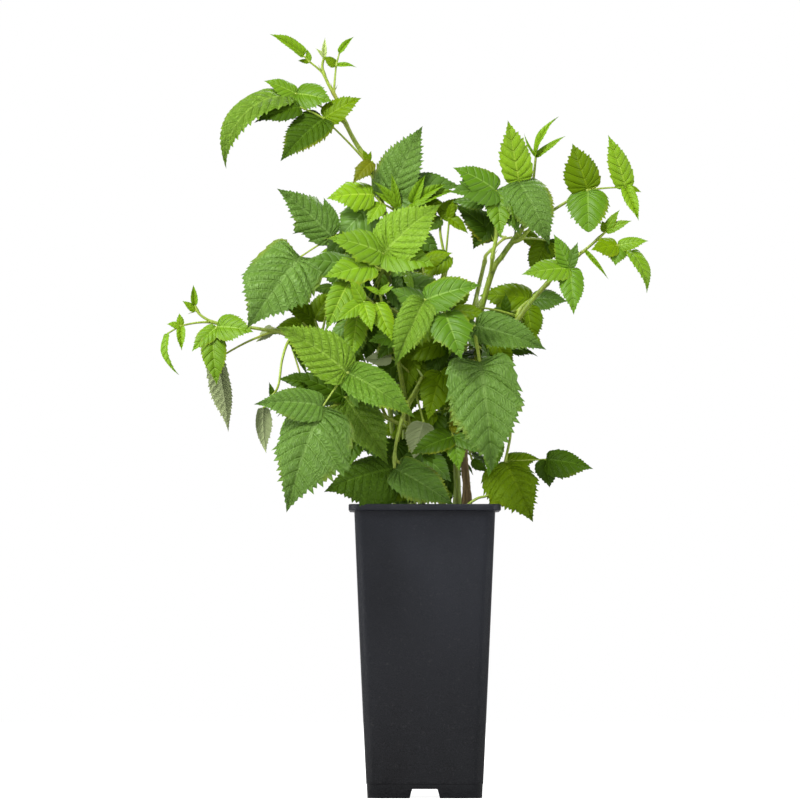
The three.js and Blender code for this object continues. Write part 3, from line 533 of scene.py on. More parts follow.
# %% Piles of small shapes
class Pile:
    """Many small shapes on their way to being one mesh, with numbers held at their points."""

    def __init__(self):
        self.points = []
        self.faces = []
        self.slots = []
        self.values = {}
        self.count = 0
        self.shapes = 0

    def add(self, points, faces, slots=None, **values):
        """Adds a shape: points in plan millimetres, faces as rows of three, and a number for each point."""
        self.points.append(points)
        self.faces.append(faces + self.count)
        self.slots.append(np.zeros(len(faces), int) if slots is None else slots)
        for name, numbers in values.items():
            self.values.setdefault(name, []).append(numbers)
        self.count += len(points)
        self.shapes += 1

    def piece(self, name):
        """The pile as one object, its points in metres in the frame."""
        points = (np.concatenate(self.points) + (CROWN_SHIFT_X, 0, 0)) * MILLIMETRE
        faces = np.concatenate(self.faces)
        mesh = bpy.data.meshes.new(name)
        mesh.vertices.add(len(points))
        mesh.vertices.foreach_set("co", points.astype(np.float32).ravel())
        mesh.loops.add(faces.size)
        mesh.loops.foreach_set("vertex_index", faces.astype(np.int32).ravel())
        mesh.polygons.add(len(faces))
        mesh.polygons.foreach_set("loop_start", np.arange(0, faces.size, 3, dtype=np.int32))
        mesh.polygons.foreach_set("material_index", np.concatenate(self.slots).astype(np.int32))
        mesh.update(calc_edges=True)
        for value_name, numbers in self.values.items():
            layer = mesh.attributes.new(value_name, "FLOAT", "POINT")
            layer.data.foreach_set("value", np.concatenate(numbers).astype(np.float32))
        piece = bpy.data.objects.new(name, mesh)
        bpy.context.scene.collection.objects.link(piece)
        return piece


def tube_shape(middles, radii, sides):
    """Points and faces of a closed round tube through middles, with a radius at each."""
    middles = np.asarray(middles, float)
    ways = np.gradient(middles, axis=0)
    ways /= np.linalg.norm(ways, axis=1)[:, None]
    turns = np.arange(sides) * 2 * math.pi / sides
    across = np.array([0.31, 0.95, 0.05])
    rings = []
    for middle, way, radius in zip(middles, ways, radii):
        across = across - way * across.dot(way)
        across /= np.linalg.norm(across)
        beside = np.cross(way, across)
        rings.append(middle + radius * (np.outer(np.cos(turns), across) + np.outer(np.sin(turns), beside)))
    ends = [middles[0] - ways[0] * radii[0] * 0.4, middles[-1] + ways[-1] * radii[-1] * 0.4]
    points = np.concatenate(rings + [np.array(ends)])
    side = np.arange(sides)
    after = (side + 1) % sides
    first, last = len(rings) * sides, len(rings) * sides + 1
    faces = [np.stack([np.full(sides, first), after, side], axis=1)]
    for ring in range(len(rings) - 1):
        base = ring * sides
        faces.append(np.stack([base + side, base + after, base + sides + after], axis=1))
        faces.append(np.stack([base + side, base + sides + after, base + sides + side], axis=1))
    base = (len(rings) - 1) * sides
    faces.append(np.stack([base + side, base + after, np.full(sides, last)], axis=1))
    return points, np.concatenate(faces)


# %% Compost finish
def compost_finish(name, dark, light):
    finish = Finish(name, 0.95, 0.2)
    crumbs = finish.patches(260, detail=5)
    finish.raise_by(crumbs, mm(0.8), 0.7)
    return finish.done(finish.mix(crumbs, dark, light))


# %% Compost shape
COMPOST_TOP = 214
COMPOST_CROWN = 2
COMPOST_SHOULDER = 8
COMPOST_GRID = np.arange(-48, 49, 2.5)
CRUMBS = 900
CRUMB_SIZE = (0.5, 1.6)
CRUMB_SHAPE = (0.5, 1.3)  # how much a crumb is squeezed each way
CRUMB_ROUGH = (0.8, 1.2)
FIBRES = 90
FIBRE_HALF = (2, 6)
FIBRE_RADII = [0.15, 0.25, 0.12]
MARGIN = 5  # bare edge, where the crumbs roll down


def make_compost():
    edge = COMPOST_TOP - COMPOST_CROWN
    floor_side = body_side(POT_FLOOR) - 2 * (POT_WALL + SEAM)
    fill = add_block("compost_fill", floor_side, floor_side, POT_FLOOR + SEAM, edge)
    bpy.ops.object.mode_set(mode="EDIT")
    pick(fill, "FACE", is_top)
    wider = (body_side(edge) - 2 * (POT_WALL + SEAM)) / floor_side
    spread(wider, wider)
    pick(fill, "EDGE", lambda bar: abs(bar.verts[0].co.z - bar.verts[1].co.z) > mm(edge / 2))
    bpy.ops.mesh.bevel(offset=mm(POT_CORNER - POT_WALL), segments=6, affect="EDGES")
    pick(fill, "FACE", is_top)
    extrude_to(fill, body_side(edge) - 2 * COMPOST_SHOULDER, COMPOST_TOP)
    cut_across(COMPOST_GRID, (1, 0, 0))
    cut_across(COMPOST_GRID, (0, 1, 0))
    pick(fill, "VERT", lambda point: point.co.z > mm(edge + 0.5))
    bpy.ops.transform.vertex_random(offset=mm(0.9), uniform=1, normal=0, seed=4)
    bpy.ops.object.mode_set(mode="OBJECT")
    keep(fill, [compost_finish("compost", "1c130d", "3d2b1d")], ["compost"])


def rough_crumb():
    """The points and faces of one icosphere crumb."""
    deselect()
    bpy.ops.mesh.primitive_ico_sphere_add(subdivisions=1, radius=1)
    ball = bpy.context.object
    points = np.array([point.co for point in ball.data.vertices])
    faces = np.array([face.vertices for face in ball.data.polygons])
    bpy.data.objects.remove(ball)
    return points, faces


def scatter_crumbs(dice, half):
    points, faces = rough_crumb()
    crumbs = Pile()
    for _ in range(CRUMBS):
        size = dice.uniform(*CRUMB_SIZE) * dice.uniform(*CRUMB_SHAPE, 3)
        turn = np.linalg.qr(dice.normal(size=(3, 3)))[0]
        turn *= np.sign(np.linalg.det(turn))
        place = np.append(dice.uniform(-half, half, 2), COMPOST_TOP - 0.2)
        place[2] -= max(0, np.abs(place[:2]).max() - half + MARGIN) * 0.3
        rough = dice.uniform(*CRUMB_ROUGH, (len(points), 1))
        crumbs.add((points * rough * size) @ turn + place, faces)
    finish = compost_finish("crumbs", "2a1c12", "5a4027")
    keep(crumbs.piece("compost_crumbs"), [finish], ["compost"])


def scatter_fibres(dice, half):
    fibres = Pile()
    for _ in range(FIBRES):
        place = np.append(dice.uniform(-half, half, 2) * 0.95, COMPOST_TOP + 0.6)
        turn = dice.uniform(0, math.pi)
        way = np.array([math.cos(turn), math.sin(turn), 0]) * dice.uniform(*FIBRE_HALF)
        middles = [place - way, place + (0, 0, dice.uniform(0.2, 1)), place + way]
        fibres.add(*tube_shape(middles, FIBRE_RADII, 4))
    finish = compost_finish("fibres", "6b5233", "9c8157")
    keep(fibres.piece("compost_fibres"), [finish], ["compost"])


make_compost()
compost_dice = np.random.default_rng(11)
half_top = body_side(COMPOST_TOP) / 2 - MARGIN
scatter_crumbs(compost_dice, half_top)
scatter_fibres(compost_dice, half_top)

# %% [markdown]
# ## Plan of the plant
#
# The plan is in millimetres from the middle of the underside of the pot. It is the one list of places in
# this lesson, since no rule could say where a real plant chose to put its leaves. All else is worked out.
# A short function for each kind of row says what its numbers are.
#
# A leaflet's row can end with a habit, which is how it differs from a usual one: its age, and
#
# - wide and sides: how much wider it is than its row says, as a whole and for its left and right half;
# - lobe, heart and blunt: how far a lobe stands out on each side, how far its foot reaches back beside the
#   stalk, and whether its tip is round;
# - fold, arch and roll: the degrees that its halves rise, that it bends from stalk to tip, and that it is
#   turned about its midrib;
# - face and look: the rise in degrees of the way that its upper side faces, or that way itself.

# %% Plan: rows and habits
def limb_row(name, radii, flare, on, points):
    """A cane or a bough: its radius at foot and tip, the flare of its foot, and points from the foot up.

    A bough is on a limb, at a height where it leaves that limb.
    """
    return {"name": name, "radii": radii, "flare": flare, "on": on, "points": points}


def leaf_at(at, hub, *leaflets, end=None, last=()):
    """A leaf that grows at a share of a stem, and the hub where its stalk ends and its leaflets sit.

    A leaf with no hub sits on the stem. The stalk can run on from the hub to an end, with the last ones.
    A leaflet is [clock hour it points to, degrees it leans to the front, length, width over length, habit].
    """
    return {"at": at, "hub": hub, "leaflets": leaflets, "end": end, "last": last}


def shoot_row(name, age, on, radii, stem, leaves):
    """A mass of leaves: its usual age, the limb and height that it leaves, and the points of its stem."""
    return {"name": name, "age": age, "on": on, "radii": radii, "stem": stem, "leaves": leaves}


def seed_row(name, age, on, toward, rise, reach, size, seed, space):
    """A mass that grows by seed.

    Its stem leans toward a compass turn (0 right, 90 back), with a rise in degrees and a reach. Its leaves
    have a size, as a share of grown ones, and stay between two corners of space.
    """
    return {"name": name, "age": age, "on": on, "toward": toward, "rise": rise, "reach": reach,
            "size": size, "seed": seed, "space": space}


BUD = dict(age="bud", fold=45)
NARROW = dict(age="young", fold=45, wide=1.15)
FOLDED = dict(age="young", fold=40)
THIN = dict(age="young", fold=40, wide=0.6)
# The bright, deep and olive ages also paint light and shade: bright is painted light on lit leaves, the
# deep age is painted shade, and olive is partly a yellowish leaf colour and partly painted shade.
YOUNG, BRIGHT, MID, MATURE = [dict(age=age) for age in ("young", "bright", "mid", "mature")]
OLIVE, DEEP_SHADE, WITHERED = [dict(age=age) for age in ("olive", "deep", "withered")]
UNDERSIDE = dict(roll=150, age="turned", fold=30)
LOBED = dict(lobe=0.18, wide=1.1)
WIDE = dict(wide=1.15)
TO_LEFT = dict(look=[-0.9, -0.3, 0.3])
TO_RIGHT = dict(look=[0.9, -0.3, 0.3])

# %% Plan: limbs
LIMBS = [
    limb_row("cane_tall", [2.9, 2.1], 1.5, None,
             [[-15, 2, 214], [-14, 0, 290], [-11, 0, 335], [-18, 4, 394], [-30, 12, 443],
              [-40, 13, 477]]),
    limb_row("cane_middle", [2.5, 1.6], 1.5, None,
             [[-2, 14, 214], [1, 13, 300], [5, 9, 350], [2, 5, 400], [-9, 3, 426]]),
    limb_row("cane_front", [2.4, 1.5], 1.5, None,
             [[-9, -18, 214], [-12, -24, 280], [-19, -40, 325], [-28, -60, 358]]),
    limb_row("cane_right", [2.8, 1.9], 1.5, None,
             [[25, 4, 214], [25, 6, 262], [34, 8, 330], [50, 4, 395], [60, 2, 413], [71, 0, 428]]),
    limb_row("cane_woody", [3.1, 2.7], 1.6, None,
             [[32, -8, 214], [30, -9, 262], [32, -10, 300], [31, -12, 338]]),
    limb_row("cane_back_left", [2.4, 1.5], 1.5, None,
             [[-22, 20, 214], [-27, 30, 300], [-42, 50, 370], [-52, 60, 408]]),
    limb_row("cane_back_right", [2.4, 1.5], 1.5, None,
             [[14, 28, 214], [20, 40, 300], [37, 60, 370], [47, 70, 412]]),
    limb_row("bough_left", [2.2, 1.7], 1, ["cane_tall", 303],
             [[-45, -10, 316], [-78, -14, 341], [-106, -12, 352]]),
    limb_row("bough_right", [2.3, 1.7], 1, ["cane_woody", 312],
             [[48, -12, 334], [70, -11, 362], [82, -10, 378], [94, -10, 391]]),
]

print(len(LIMBS), "limbs")

# %% Plan: masses of leaves that have a plan
SHOOTS = [
    shoot_row("leaves_tall_tip", "bright", ["cane_tall", "tip"], [2.1, 0.9],
              [[-53, 12, 500], [-61.6, 10, 517], [-67, 8, 532], [-74, 8, 545], [-78, 8, 556],
               [-77, 8, 564]], [
        leaf_at(1, None, [12.2, 10, 16, 0.4, BUD], [10.7, 10, 10, 0.45, BUD]),
        leaf_at(0.8, [-88, 6, 561], [9, 10, 9, 0.5, OLIVE], [11.6, 0, 10, 0.5], end=[-92.6, 5, 565.4],
            last=[[10.15, 8, 31, 0.42, NARROW]]),
        leaf_at(0.62, [-67.5, 6, 558], [10.1, 5, 12, 0.45, dict(OLIVE, wide=1.6)],
            [3.1, 5, 16, 0.35, NARROW], end=[-65, 5, 567.5], last=[[1.4, 10, 17, 0.45, NARROW]]),
        leaf_at(0.4, [-98, 2, 536], [3.4, 15, 30, 0.6, dict(wide=1.5)], [9.7, 5, 27, 0.6],
            end=[-104, 1, 533.5],
            last=[[7.41, 5, 88, 0.42, dict(face=62, arch=117, sides=(0.85, 1.05))]]),
        leaf_at(0.1, [-76.6, -4, 516.6], [7.52, 20, 51, 0.55, dict(DEEP_SHADE, wide=1.12)],
            [2, 0, 33, 0.5, dict(OLIVE, wide=1.25)], end=[-95, -8, 525],
            last=[[8.43, 15, 39, 0.5, DEEP_SHADE]]),
        leaf_at(0.06, [-40, 0, 484], [7.4, 20, 25, 0.52, dict(WITHERED, lobe=0.2)]),
    ]),
    shoot_row("leaves_middle_top", "bright", ["cane_middle", "tip"], [1.6, 0.9],
              [[-15, 1, 436], [-19, 0, 443], [-20, 0, 448]], [
        leaf_at(1, None, [10.65, 5, 29, 0.34, FOLDED], [10.05, 12, 24, 0.32, FOLDED],
            [11.56, 0, 28, 0.34, FOLDED]),
        leaf_at(0.3, [-27, 5, 456], [0.88, 0, 62, 0.6, dict(MATURE, sides=(1.05, 0.85), heart=0.16)],
            [2.57, -10, 44, 0.5, dict(MATURE, wide=1.6)]),
        leaf_at(0.8, [-33, -2, 452], [7, 20, 22, 0.5, dict(YOUNG, wide=1.25)], end=[-39, -3, 458.5],
            last=[[8.85, 10, 37, 0.58, dict(YOUNG, sides=(1.15, 1.3), lobe=0.2)]]),
        leaf_at(0.4, [-41, 2, 450], [7.5, 10, 38, 0.5, dict(MATURE, wide=1.55, lobe=0.2)]),
        leaf_at(0.7, [-9, -4, 452], [0.74, 5, 24, 0.55, FOLDED], [2.05, 10, 30, 0.5, FOLDED],
            [2.5, 5, 35, 0.45, FOLDED], [5.5, 30, 13, 0.6, YOUNG]),
    ]),
    shoot_row("leaves_centre_upper", "bright", ["cane_tall", 383], [1.5, 1.1],
              [[-26, -22, 392], [-30, -46, 404], [-31, -68, 410]], [
        leaf_at(1, None, [1.56, 5, 58, 0.72], [9.6, 10, 45, 0.6, LOBED],
            [3.4, 15, 42, 0.62, dict(BRIGHT, wide=1.15)], end=[-38, -72, 401],
            last=[[8.46, 15, 41, 0.6, LOBED]]),
        leaf_at(0.5, [-53, -50, 400], [9.4, 10, 37, 0.55, dict(MATURE, sides=(1.5, 1.25))]),
    ]),
    shoot_row("leaves_upper_left", "mature", ["cane_tall", 412], [1.4, 1.1],
              [[-45, -4, 418], [-56, -12, 422], [-70, -20, 425]], [
        leaf_at(1, None, [10.36, 5, 57, 0.5, dict(lobe=0.32, sides=(1, 1.2))], end=[-94, -26, 410],
            last=[[7.12, 15, 71, 0.62, dict(lobe=0.12, heart=0.22, sides=(1.25, 1.4))]]),
    ]),
    shoot_row("leaves_front_young", "young", ["cane_front", "tip"], [1.5, 0.9],
              [[-31, -68, 368], [-34, -76, 380]], [
        leaf_at(1, None, [9.7, 20, 14, 0.4], [1.5, 10, 11, 0.4], [2.3, 20, 13, 0.4]),
        leaf_at(0.6, [-46, -86, 373], [7.74, 20, 28, 0.55], [10.9, 10, 21, 0.5], [5.46, 25, 27, 0.5]),
        leaf_at(0.5, [-57, -76, 388], [6.85, 20, 44, 0.5]),
        leaf_at(0.2, [-51, -72, 362], [6.2, 20, 36, 0.5]),
        leaf_at(0.3, [-36, -82, 372], [5.35, 20, 34, 0.5]),
    ]),
    shoot_row("leaves_centre", "bright", ["cane_middle", 340], [1.6, 1.1],
              [[4, -25, 352], [2, -60, 366], [0, -92, 374]], [
        leaf_at(1, None, [2.55, 10, 45, 0.52, dict(MID, wide=1.3)],
            [6.79, 15, 58, 0.42, dict(wide=1.3, fold=26)], end=[15, -96, 364],
            last=[[5.37, 25, 42, 0.75, dict(MID, lobe=0.15)]]),
        leaf_at(0.6, [4, -66, 368], [7.16, 15, 44, 0.75], [9.87, 10, 35, 0.55, dict(MATURE, wide=1.3)]),
        leaf_at(0.35, [-2, -30, 405], [2.5, 10, 25, 0.6, OLIVE]),
        leaf_at(0.25, [-25, -33, 388], [3.2, 5, 46, 0.7, MATURE], [4.6, 5, 34, 0.7, MATURE]),
        leaf_at(0.45, [-4, -72, 352], [8.5, 0, 40, 0.66, MID]),
    ]),
    shoot_row("leaves_middle_thin", "olive", ["cane_middle", 380], [1.3, 0.9],
              [[16, 4, 398], [15, 3, 413], [12, 2, 430], [13, 1, 441]], [
        leaf_at(1, None, [1.45, 10, 22, 0.7], [7.5, -10, 14, 0.6, dict(DEEP_SHADE, wide=1.3)]),
        leaf_at(0.2, [19, -4, 441], [4.4, 15, 20, 0.5], [0.4, 10, 14, 0.5]),
    ]),
    shoot_row("leaves_left_shoot", "bright", ["bough_left", "tip"], [1.7, 0.9],
              [[-120, -10, 355], [-133, -9, 357], [-157, -8, 360], [-170, -8, 366], [-175, -8, 374]], [
        leaf_at(1, None, [11.85, 5, 16, 0.42, NARROW]),
        leaf_at(0.92, [-174.5, -8, 369.5], [10.3, 10, 13, 0.5, dict(fold=20)]),
        leaf_at(0.7, [-185.5, -12, 358], [6, 15, 20, 0.5, FOLDED], [9.3, 5, 11, 0.6], [11.8, 5, 10, 0.6],
            end=[-195.5, -14, 352],
            last=[[5.52, 10, 36, 0.3, dict(arch=70, look=[-0.8, -0.6, 0], fold=35)]]),
        leaf_at(0.64, [-158, -16, 357], [7.5, 15, 28, 0.55], [3.2, 15, 30, 0.62, dict(wide=1.3)],
            end=[-161, -18, 352], last=[[5.93, 10, 41, 0.5]]),
        leaf_at(0.22, [-158.3, -1, 333],
            [5.72, -5, 57, 0.36, dict(UNDERSIDE, roll=205, sides=(1.15, 0.65), fold=12)]),
        leaf_at(0.08, [-116, -2, 357], [7.6, -20, 18, 0.6, UNDERSIDE]),
    ]),
    shoot_row("leaves_low_left", "mid", ["cane_front", 302], [1.8, 1.3],
              [[-34, -60, 312], [-46, -86, 318], [-58, -104, 319]], [
        leaf_at(1, None, [10.2, 5, 64, 0.55, dict(BRIGHT, wide=1.15)], [4.07, 10, 63, 0.53],
            end=[-76, -116, 294], last=[[6.72, 12, 87, 0.62, dict(MATURE, lobe=0.16, sides=(1.2, 0.88))],
            [9.12, 10, 53, 0.42, dict(MATURE, sides=(1.45, 1.15))]]),
    ]),
    shoot_row("leaves_low_inner", "mature", ["cane_front", 276], [1.5, 1.1],
              [[-30, -38, 288], [-46, -49, 298], [-60, -58, 302]], [
        leaf_at(1, None, [4.93, 10, 62, 0.5, dict(BRIGHT, wide=1.15)], [9.75, 0, 44, 0.5, DEEP_SHADE],
            end=[-76, -60, 290], last=[[8, 5, 36, 0.5]]),
        leaf_at(0.7, [-100, -72, 300], end=[-121.5, -76, 294],
            last=[[5.85, 0, 35, 0.42, dict(UNDERSIDE, fold=12)]]),
    ]),
    shoot_row("leaves_low_front", "deep", ["cane_middle", 320], [1.5, 1.1],
              [[-1, -12, 318], [-7, -30, 306], [-17, -42, 287], [-22, -45, 266], [-23, -46, 249]], [
        leaf_at(1, None, [8.46, 5, 57, 0.52, dict(DEEP_SHADE, sides=(1.75, 1.2))],
            [4.1, 0, 54, 0.58, dict(MATURE, wide=1.15)]),
        leaf_at(0.4, [-1, -38, 284], [6.5, -5, 30, 0.5, dict(UNDERSIDE, wide=1.5, fold=8)]),
    ]),
    shoot_row("leaves_low_middle", "mid", ["cane_right", 304], [1.5, 1.1],
              [[23, -16, 304], [20, -32, 292], [21, -46, 273]], [
        leaf_at(1, None, [5.55, 15, 28, 0.5, WIDE], [3.9, 10, 32, 0.55, dict(MATURE, wide=0.75)],
            [8.2, 10, 36, 0.6, DEEP_SHADE]),
        leaf_at(0.3, [12, -46, 322], [6.4, 15, 40, 0.65, OLIVE], [4.6, 10, 34, 0.6, OLIVE]),
    ]),
    shoot_row("leaves_low_right", "mature", ["cane_woody", "tip"], [1.7, 1.2],
              [[33, -28, 352], [37, -60, 352], [41, -88, 328]], [
        leaf_at(1, None, [5.7, 8, 85, 0.7, dict(lobe=0.12, heart=0.17, sides=(0.92, 1))]),
        leaf_at(0.5, [38, -60, 356], [3.64, 10, 58, 0.45, dict(MATURE, wide=1.2)]),
    ]),
    shoot_row("leaves_rim_right", "mid", ["cane_woody", 288], [1.4, 1.0],
              [[46, -14, 296], [58, -20, 292], [65, -26, 278], [61, -28, 254]], [
        leaf_at(1, None, [5.2, 20, 54, 0.7, dict(OLIVE, lobe=0.18, sides=(0.85, 1.32))],
            [2.75, -10, 27, 0.5, dict(OLIVE, wide=1.2)], [6.6, 10, 22, 0.5], end=[92, -28, 256],
            last=[[3.35, 0, 37, 0.6, dict(DEEP_SHADE, sides=(0.85, 1.5))],
            [5.85, 10, 22, 0.6, dict(DEEP_SHADE, wide=1.5)]]),
    ]),
    shoot_row("leaves_right_far", "bright", ["bough_right", "tip"], [1.7, 0.9],
              [[104, -10, 400], [116, -10, 411], [127, -10, 420], [138, -10, 430]], [
        leaf_at(1, None, [1, 5, 20, 0.4, dict(fold=15)], [2.2, 10, 22, 0.4, dict(fold=15)],
            [11.2, 10, 9, 0.8, OLIVE]),
        leaf_at(0.62, [122, -14, 415], [4.8, 10, 29, 0.2, NARROW]),
        leaf_at(0.9, [147, -14, 419], [8.7, 15, 22, 0.5, dict(OLIVE, wide=1.8)],
            [6.3, 20, 17, 0.5, dict(MID, wide=2)], [2.75, 5, 24, 0.5], end=[156.8, -15, 415],
            last=[[5.3, 10, 37, 0.46, dict(arch=58, look=[0.7, -0.7, 0])]]),
        leaf_at(0.25, [110, -32, 401], [5.8, 20, 39, 0.5, MID], [8.67, 10, 38, 0.5, WIDE],
            [11.1, 5, 29, 0.5, MID], [0.47, 5, 21, 0.45, MATURE]),
    ]),
    shoot_row("leaves_right_inner", "olive", ["bough_right", 364], [1.4, 1.1],
              [[73, 6, 372], [82, 20, 380]], [
        leaf_at(1, None, [3.12, 5, 28, 0.5, dict(MATURE, wide=1.4)],
            [9.1, -4, 41, 0.6, dict(OLIVE, wide=1.1)], [7, 5, 28, 0.6, dict(wide=1.4)]),
        leaf_at(0.3, [76, 2, 354], [4.4, 10, 20, 0.5]),
    ]),
    shoot_row("leaves_right_top", "mid", ["cane_right", "tip"], [1.8, 0.9],
              [[76, 0, 438], [80, 0, 454], [83, 0, 470], [85, 0, 488]], [
        leaf_at(1, None, [1, 5, 37, 0.45, dict(THIN, arch=60, look=[-0.7, -0.7, 0.2])],
            [11, 5, 20, 0.3, dict(THIN, look=[-0.5, -0.8, 0])], [1.95, 10, 28, 0.4, dict(THIN, fold=20)]),
        leaf_at(0.3, [72, -12, 468], [11.55, 5, 48, 0.56, dict(YOUNG, sides=(0.9, 1))],
            [5.15, 20, 60, 0.5, dict(MATURE, arch=50, sides=(1.15, 1.35))]),
        leaf_at(0.05, [76, 10, 431], [4.5, -5, 23, 0.5, OLIVE]),
    ]),
    shoot_row("leaves_right_neck", "mid", ["cane_right", 396], [1.4, 1.0],
              [[52, -8, 412], [55, -12, 430], [54.5, -15, 461]], [
        leaf_at(1, None, [10, 5, 38, 0.55, dict(sides=(1.3, 1.1))],
            [8.8, 15, 36, 0.75, dict(MATURE, wide=1.25)], [5.73, 25, 42, 0.5, BRIGHT],
            [5.1, 20, 42, 0.5, MATURE]),
        leaf_at(0.5, [54, 8, 443], [7.2, 0, 31, 0.5, dict(DEEP_SHADE, wide=1.6)]),
        leaf_at(0.3, [56, 4, 430], [8.6, -10, 20, 0.6, UNDERSIDE]),
    ]),
    shoot_row("leaves_right_side", "mid", ["cane_right", 424], [1.5, 1.0],
              [[74, -8, 425], [86, -6, 438], [105, -4, 451], [124.6, -4, 462]], [
        leaf_at(1, None, [11.32, 5, 38, 0.75, dict(OLIVE, sides=(1.12, 0.92))],
            [6.02, 22, 36, 0.93, dict(MID, blunt=True, heart=0.02)], end=[153.4, -4, 464],
            last=[[11.42, 0, 43, 0.45, dict(YOUNG, sides=(0.95, 0.95))], [3.6, 10, 13, 0.5, OLIVE],
            [5.3, 20, 30, 0.5, FOLDED]]),
    ]),
    shoot_row("leaves_left_shade", "olive", ["bough_left", 342], [1.4, 1.1],
              [[-80, 4, 352], [-84, 12, 364]], [
        leaf_at(1, None, [1, 0, 28, 0.7], [10, 5, 32, 0.55], [8, 10, 28, 0.55]),
    ]),
]

print(len(SHOOTS), "planned masses")

# %% Plan: masses of leaves that grow by seed
# The inner masses and the back middle and rim get the deep and olive tones, painted shade for the inside of
# the crown.
SEEDED_SHOOTS = [
    seed_row("leaves_inner_left", "deep", ["cane_tall", 350], 215, 25, 34, 0.72, 5,
             [[-98, -66, 290], [12, 40, 412]]),
    seed_row("leaves_inner_right", "deep", ["cane_right", 345], 300, 25, 30, 0.72, 18,
             [[-4, -66, 285], [96, 40, 412]]),
    seed_row("leaves_inner_top", "olive", ["cane_middle", 400], 30, 30, 26, 0.66, 70,
             [[-52, -40, 368], [48, 70, 448]]),
    seed_row("leaves_back_left_top", "mid", ["cane_back_left", "tip"], 120, 35, 40, 0.9, 44,
             [[-92, 10, 330], [10, 142, 470]]),
    seed_row("leaves_back_right_top", "mid", ["cane_back_right", "tip"], 60, 35, 40, 0.9, 57,
             [[-5, 14, 330], [106, 143, 466]]),
    seed_row("leaves_back_left_low", "mature", ["cane_back_left", 310], 150, 20, 52, 1, 57,
             [[-118, 4, 226], [-8, 141, 362]]),
    seed_row("leaves_back_right_low", "mature", ["cane_back_right", 310], 65, 20, 52, 0.95, 5,
             [[0, 6, 226], [84, 142, 362]]),
    seed_row("leaves_back_middle", "deep", ["cane_middle", 352], 95, 25, 66, 0.9, 70,
             [[-75, 20, 285], [80, 143, 446]]),
    seed_row("leaves_back_rim", "deep", ["cane_back_right", 262], 100, 8, 44, 0.85, 18,
             [[-70, 20, 226], [80, 138, 310]]),
]

SEEDED_LEAVES = 4  # large leaves of each mass
SEEDED_STALK = [19, 29]  # least and most
STALK_RISE = [-5, 20]
LEAF_DROOP = [-20, -55]
SEEDED_LOOK_RISE = 56
SEEDED_TERMINAL = [44, 60]
SEEDED_RACHIS = 14
SEEDED_SIDE_SHARE = 0.8
SEEDED_SIDE_TURN = 68
SEEDED_RATIO = 0.6
SEEDED_STEM_RADII = [1.5, 0.9]
SEEDED_STEM_MIDDLE = 0.55
SEEDED_STEM_SAG = 0.08
SEEDED_BARE_SHARE = 0.4  # the foot of a seeded stem bears no leaf
SEEDED_SPREAD = 300  # degrees that its leaves are dealt over
SEEDED_TRIES = 50  # for each leaf that it may bear

print(len(SEEDED_SHOOTS), "seeded masses")

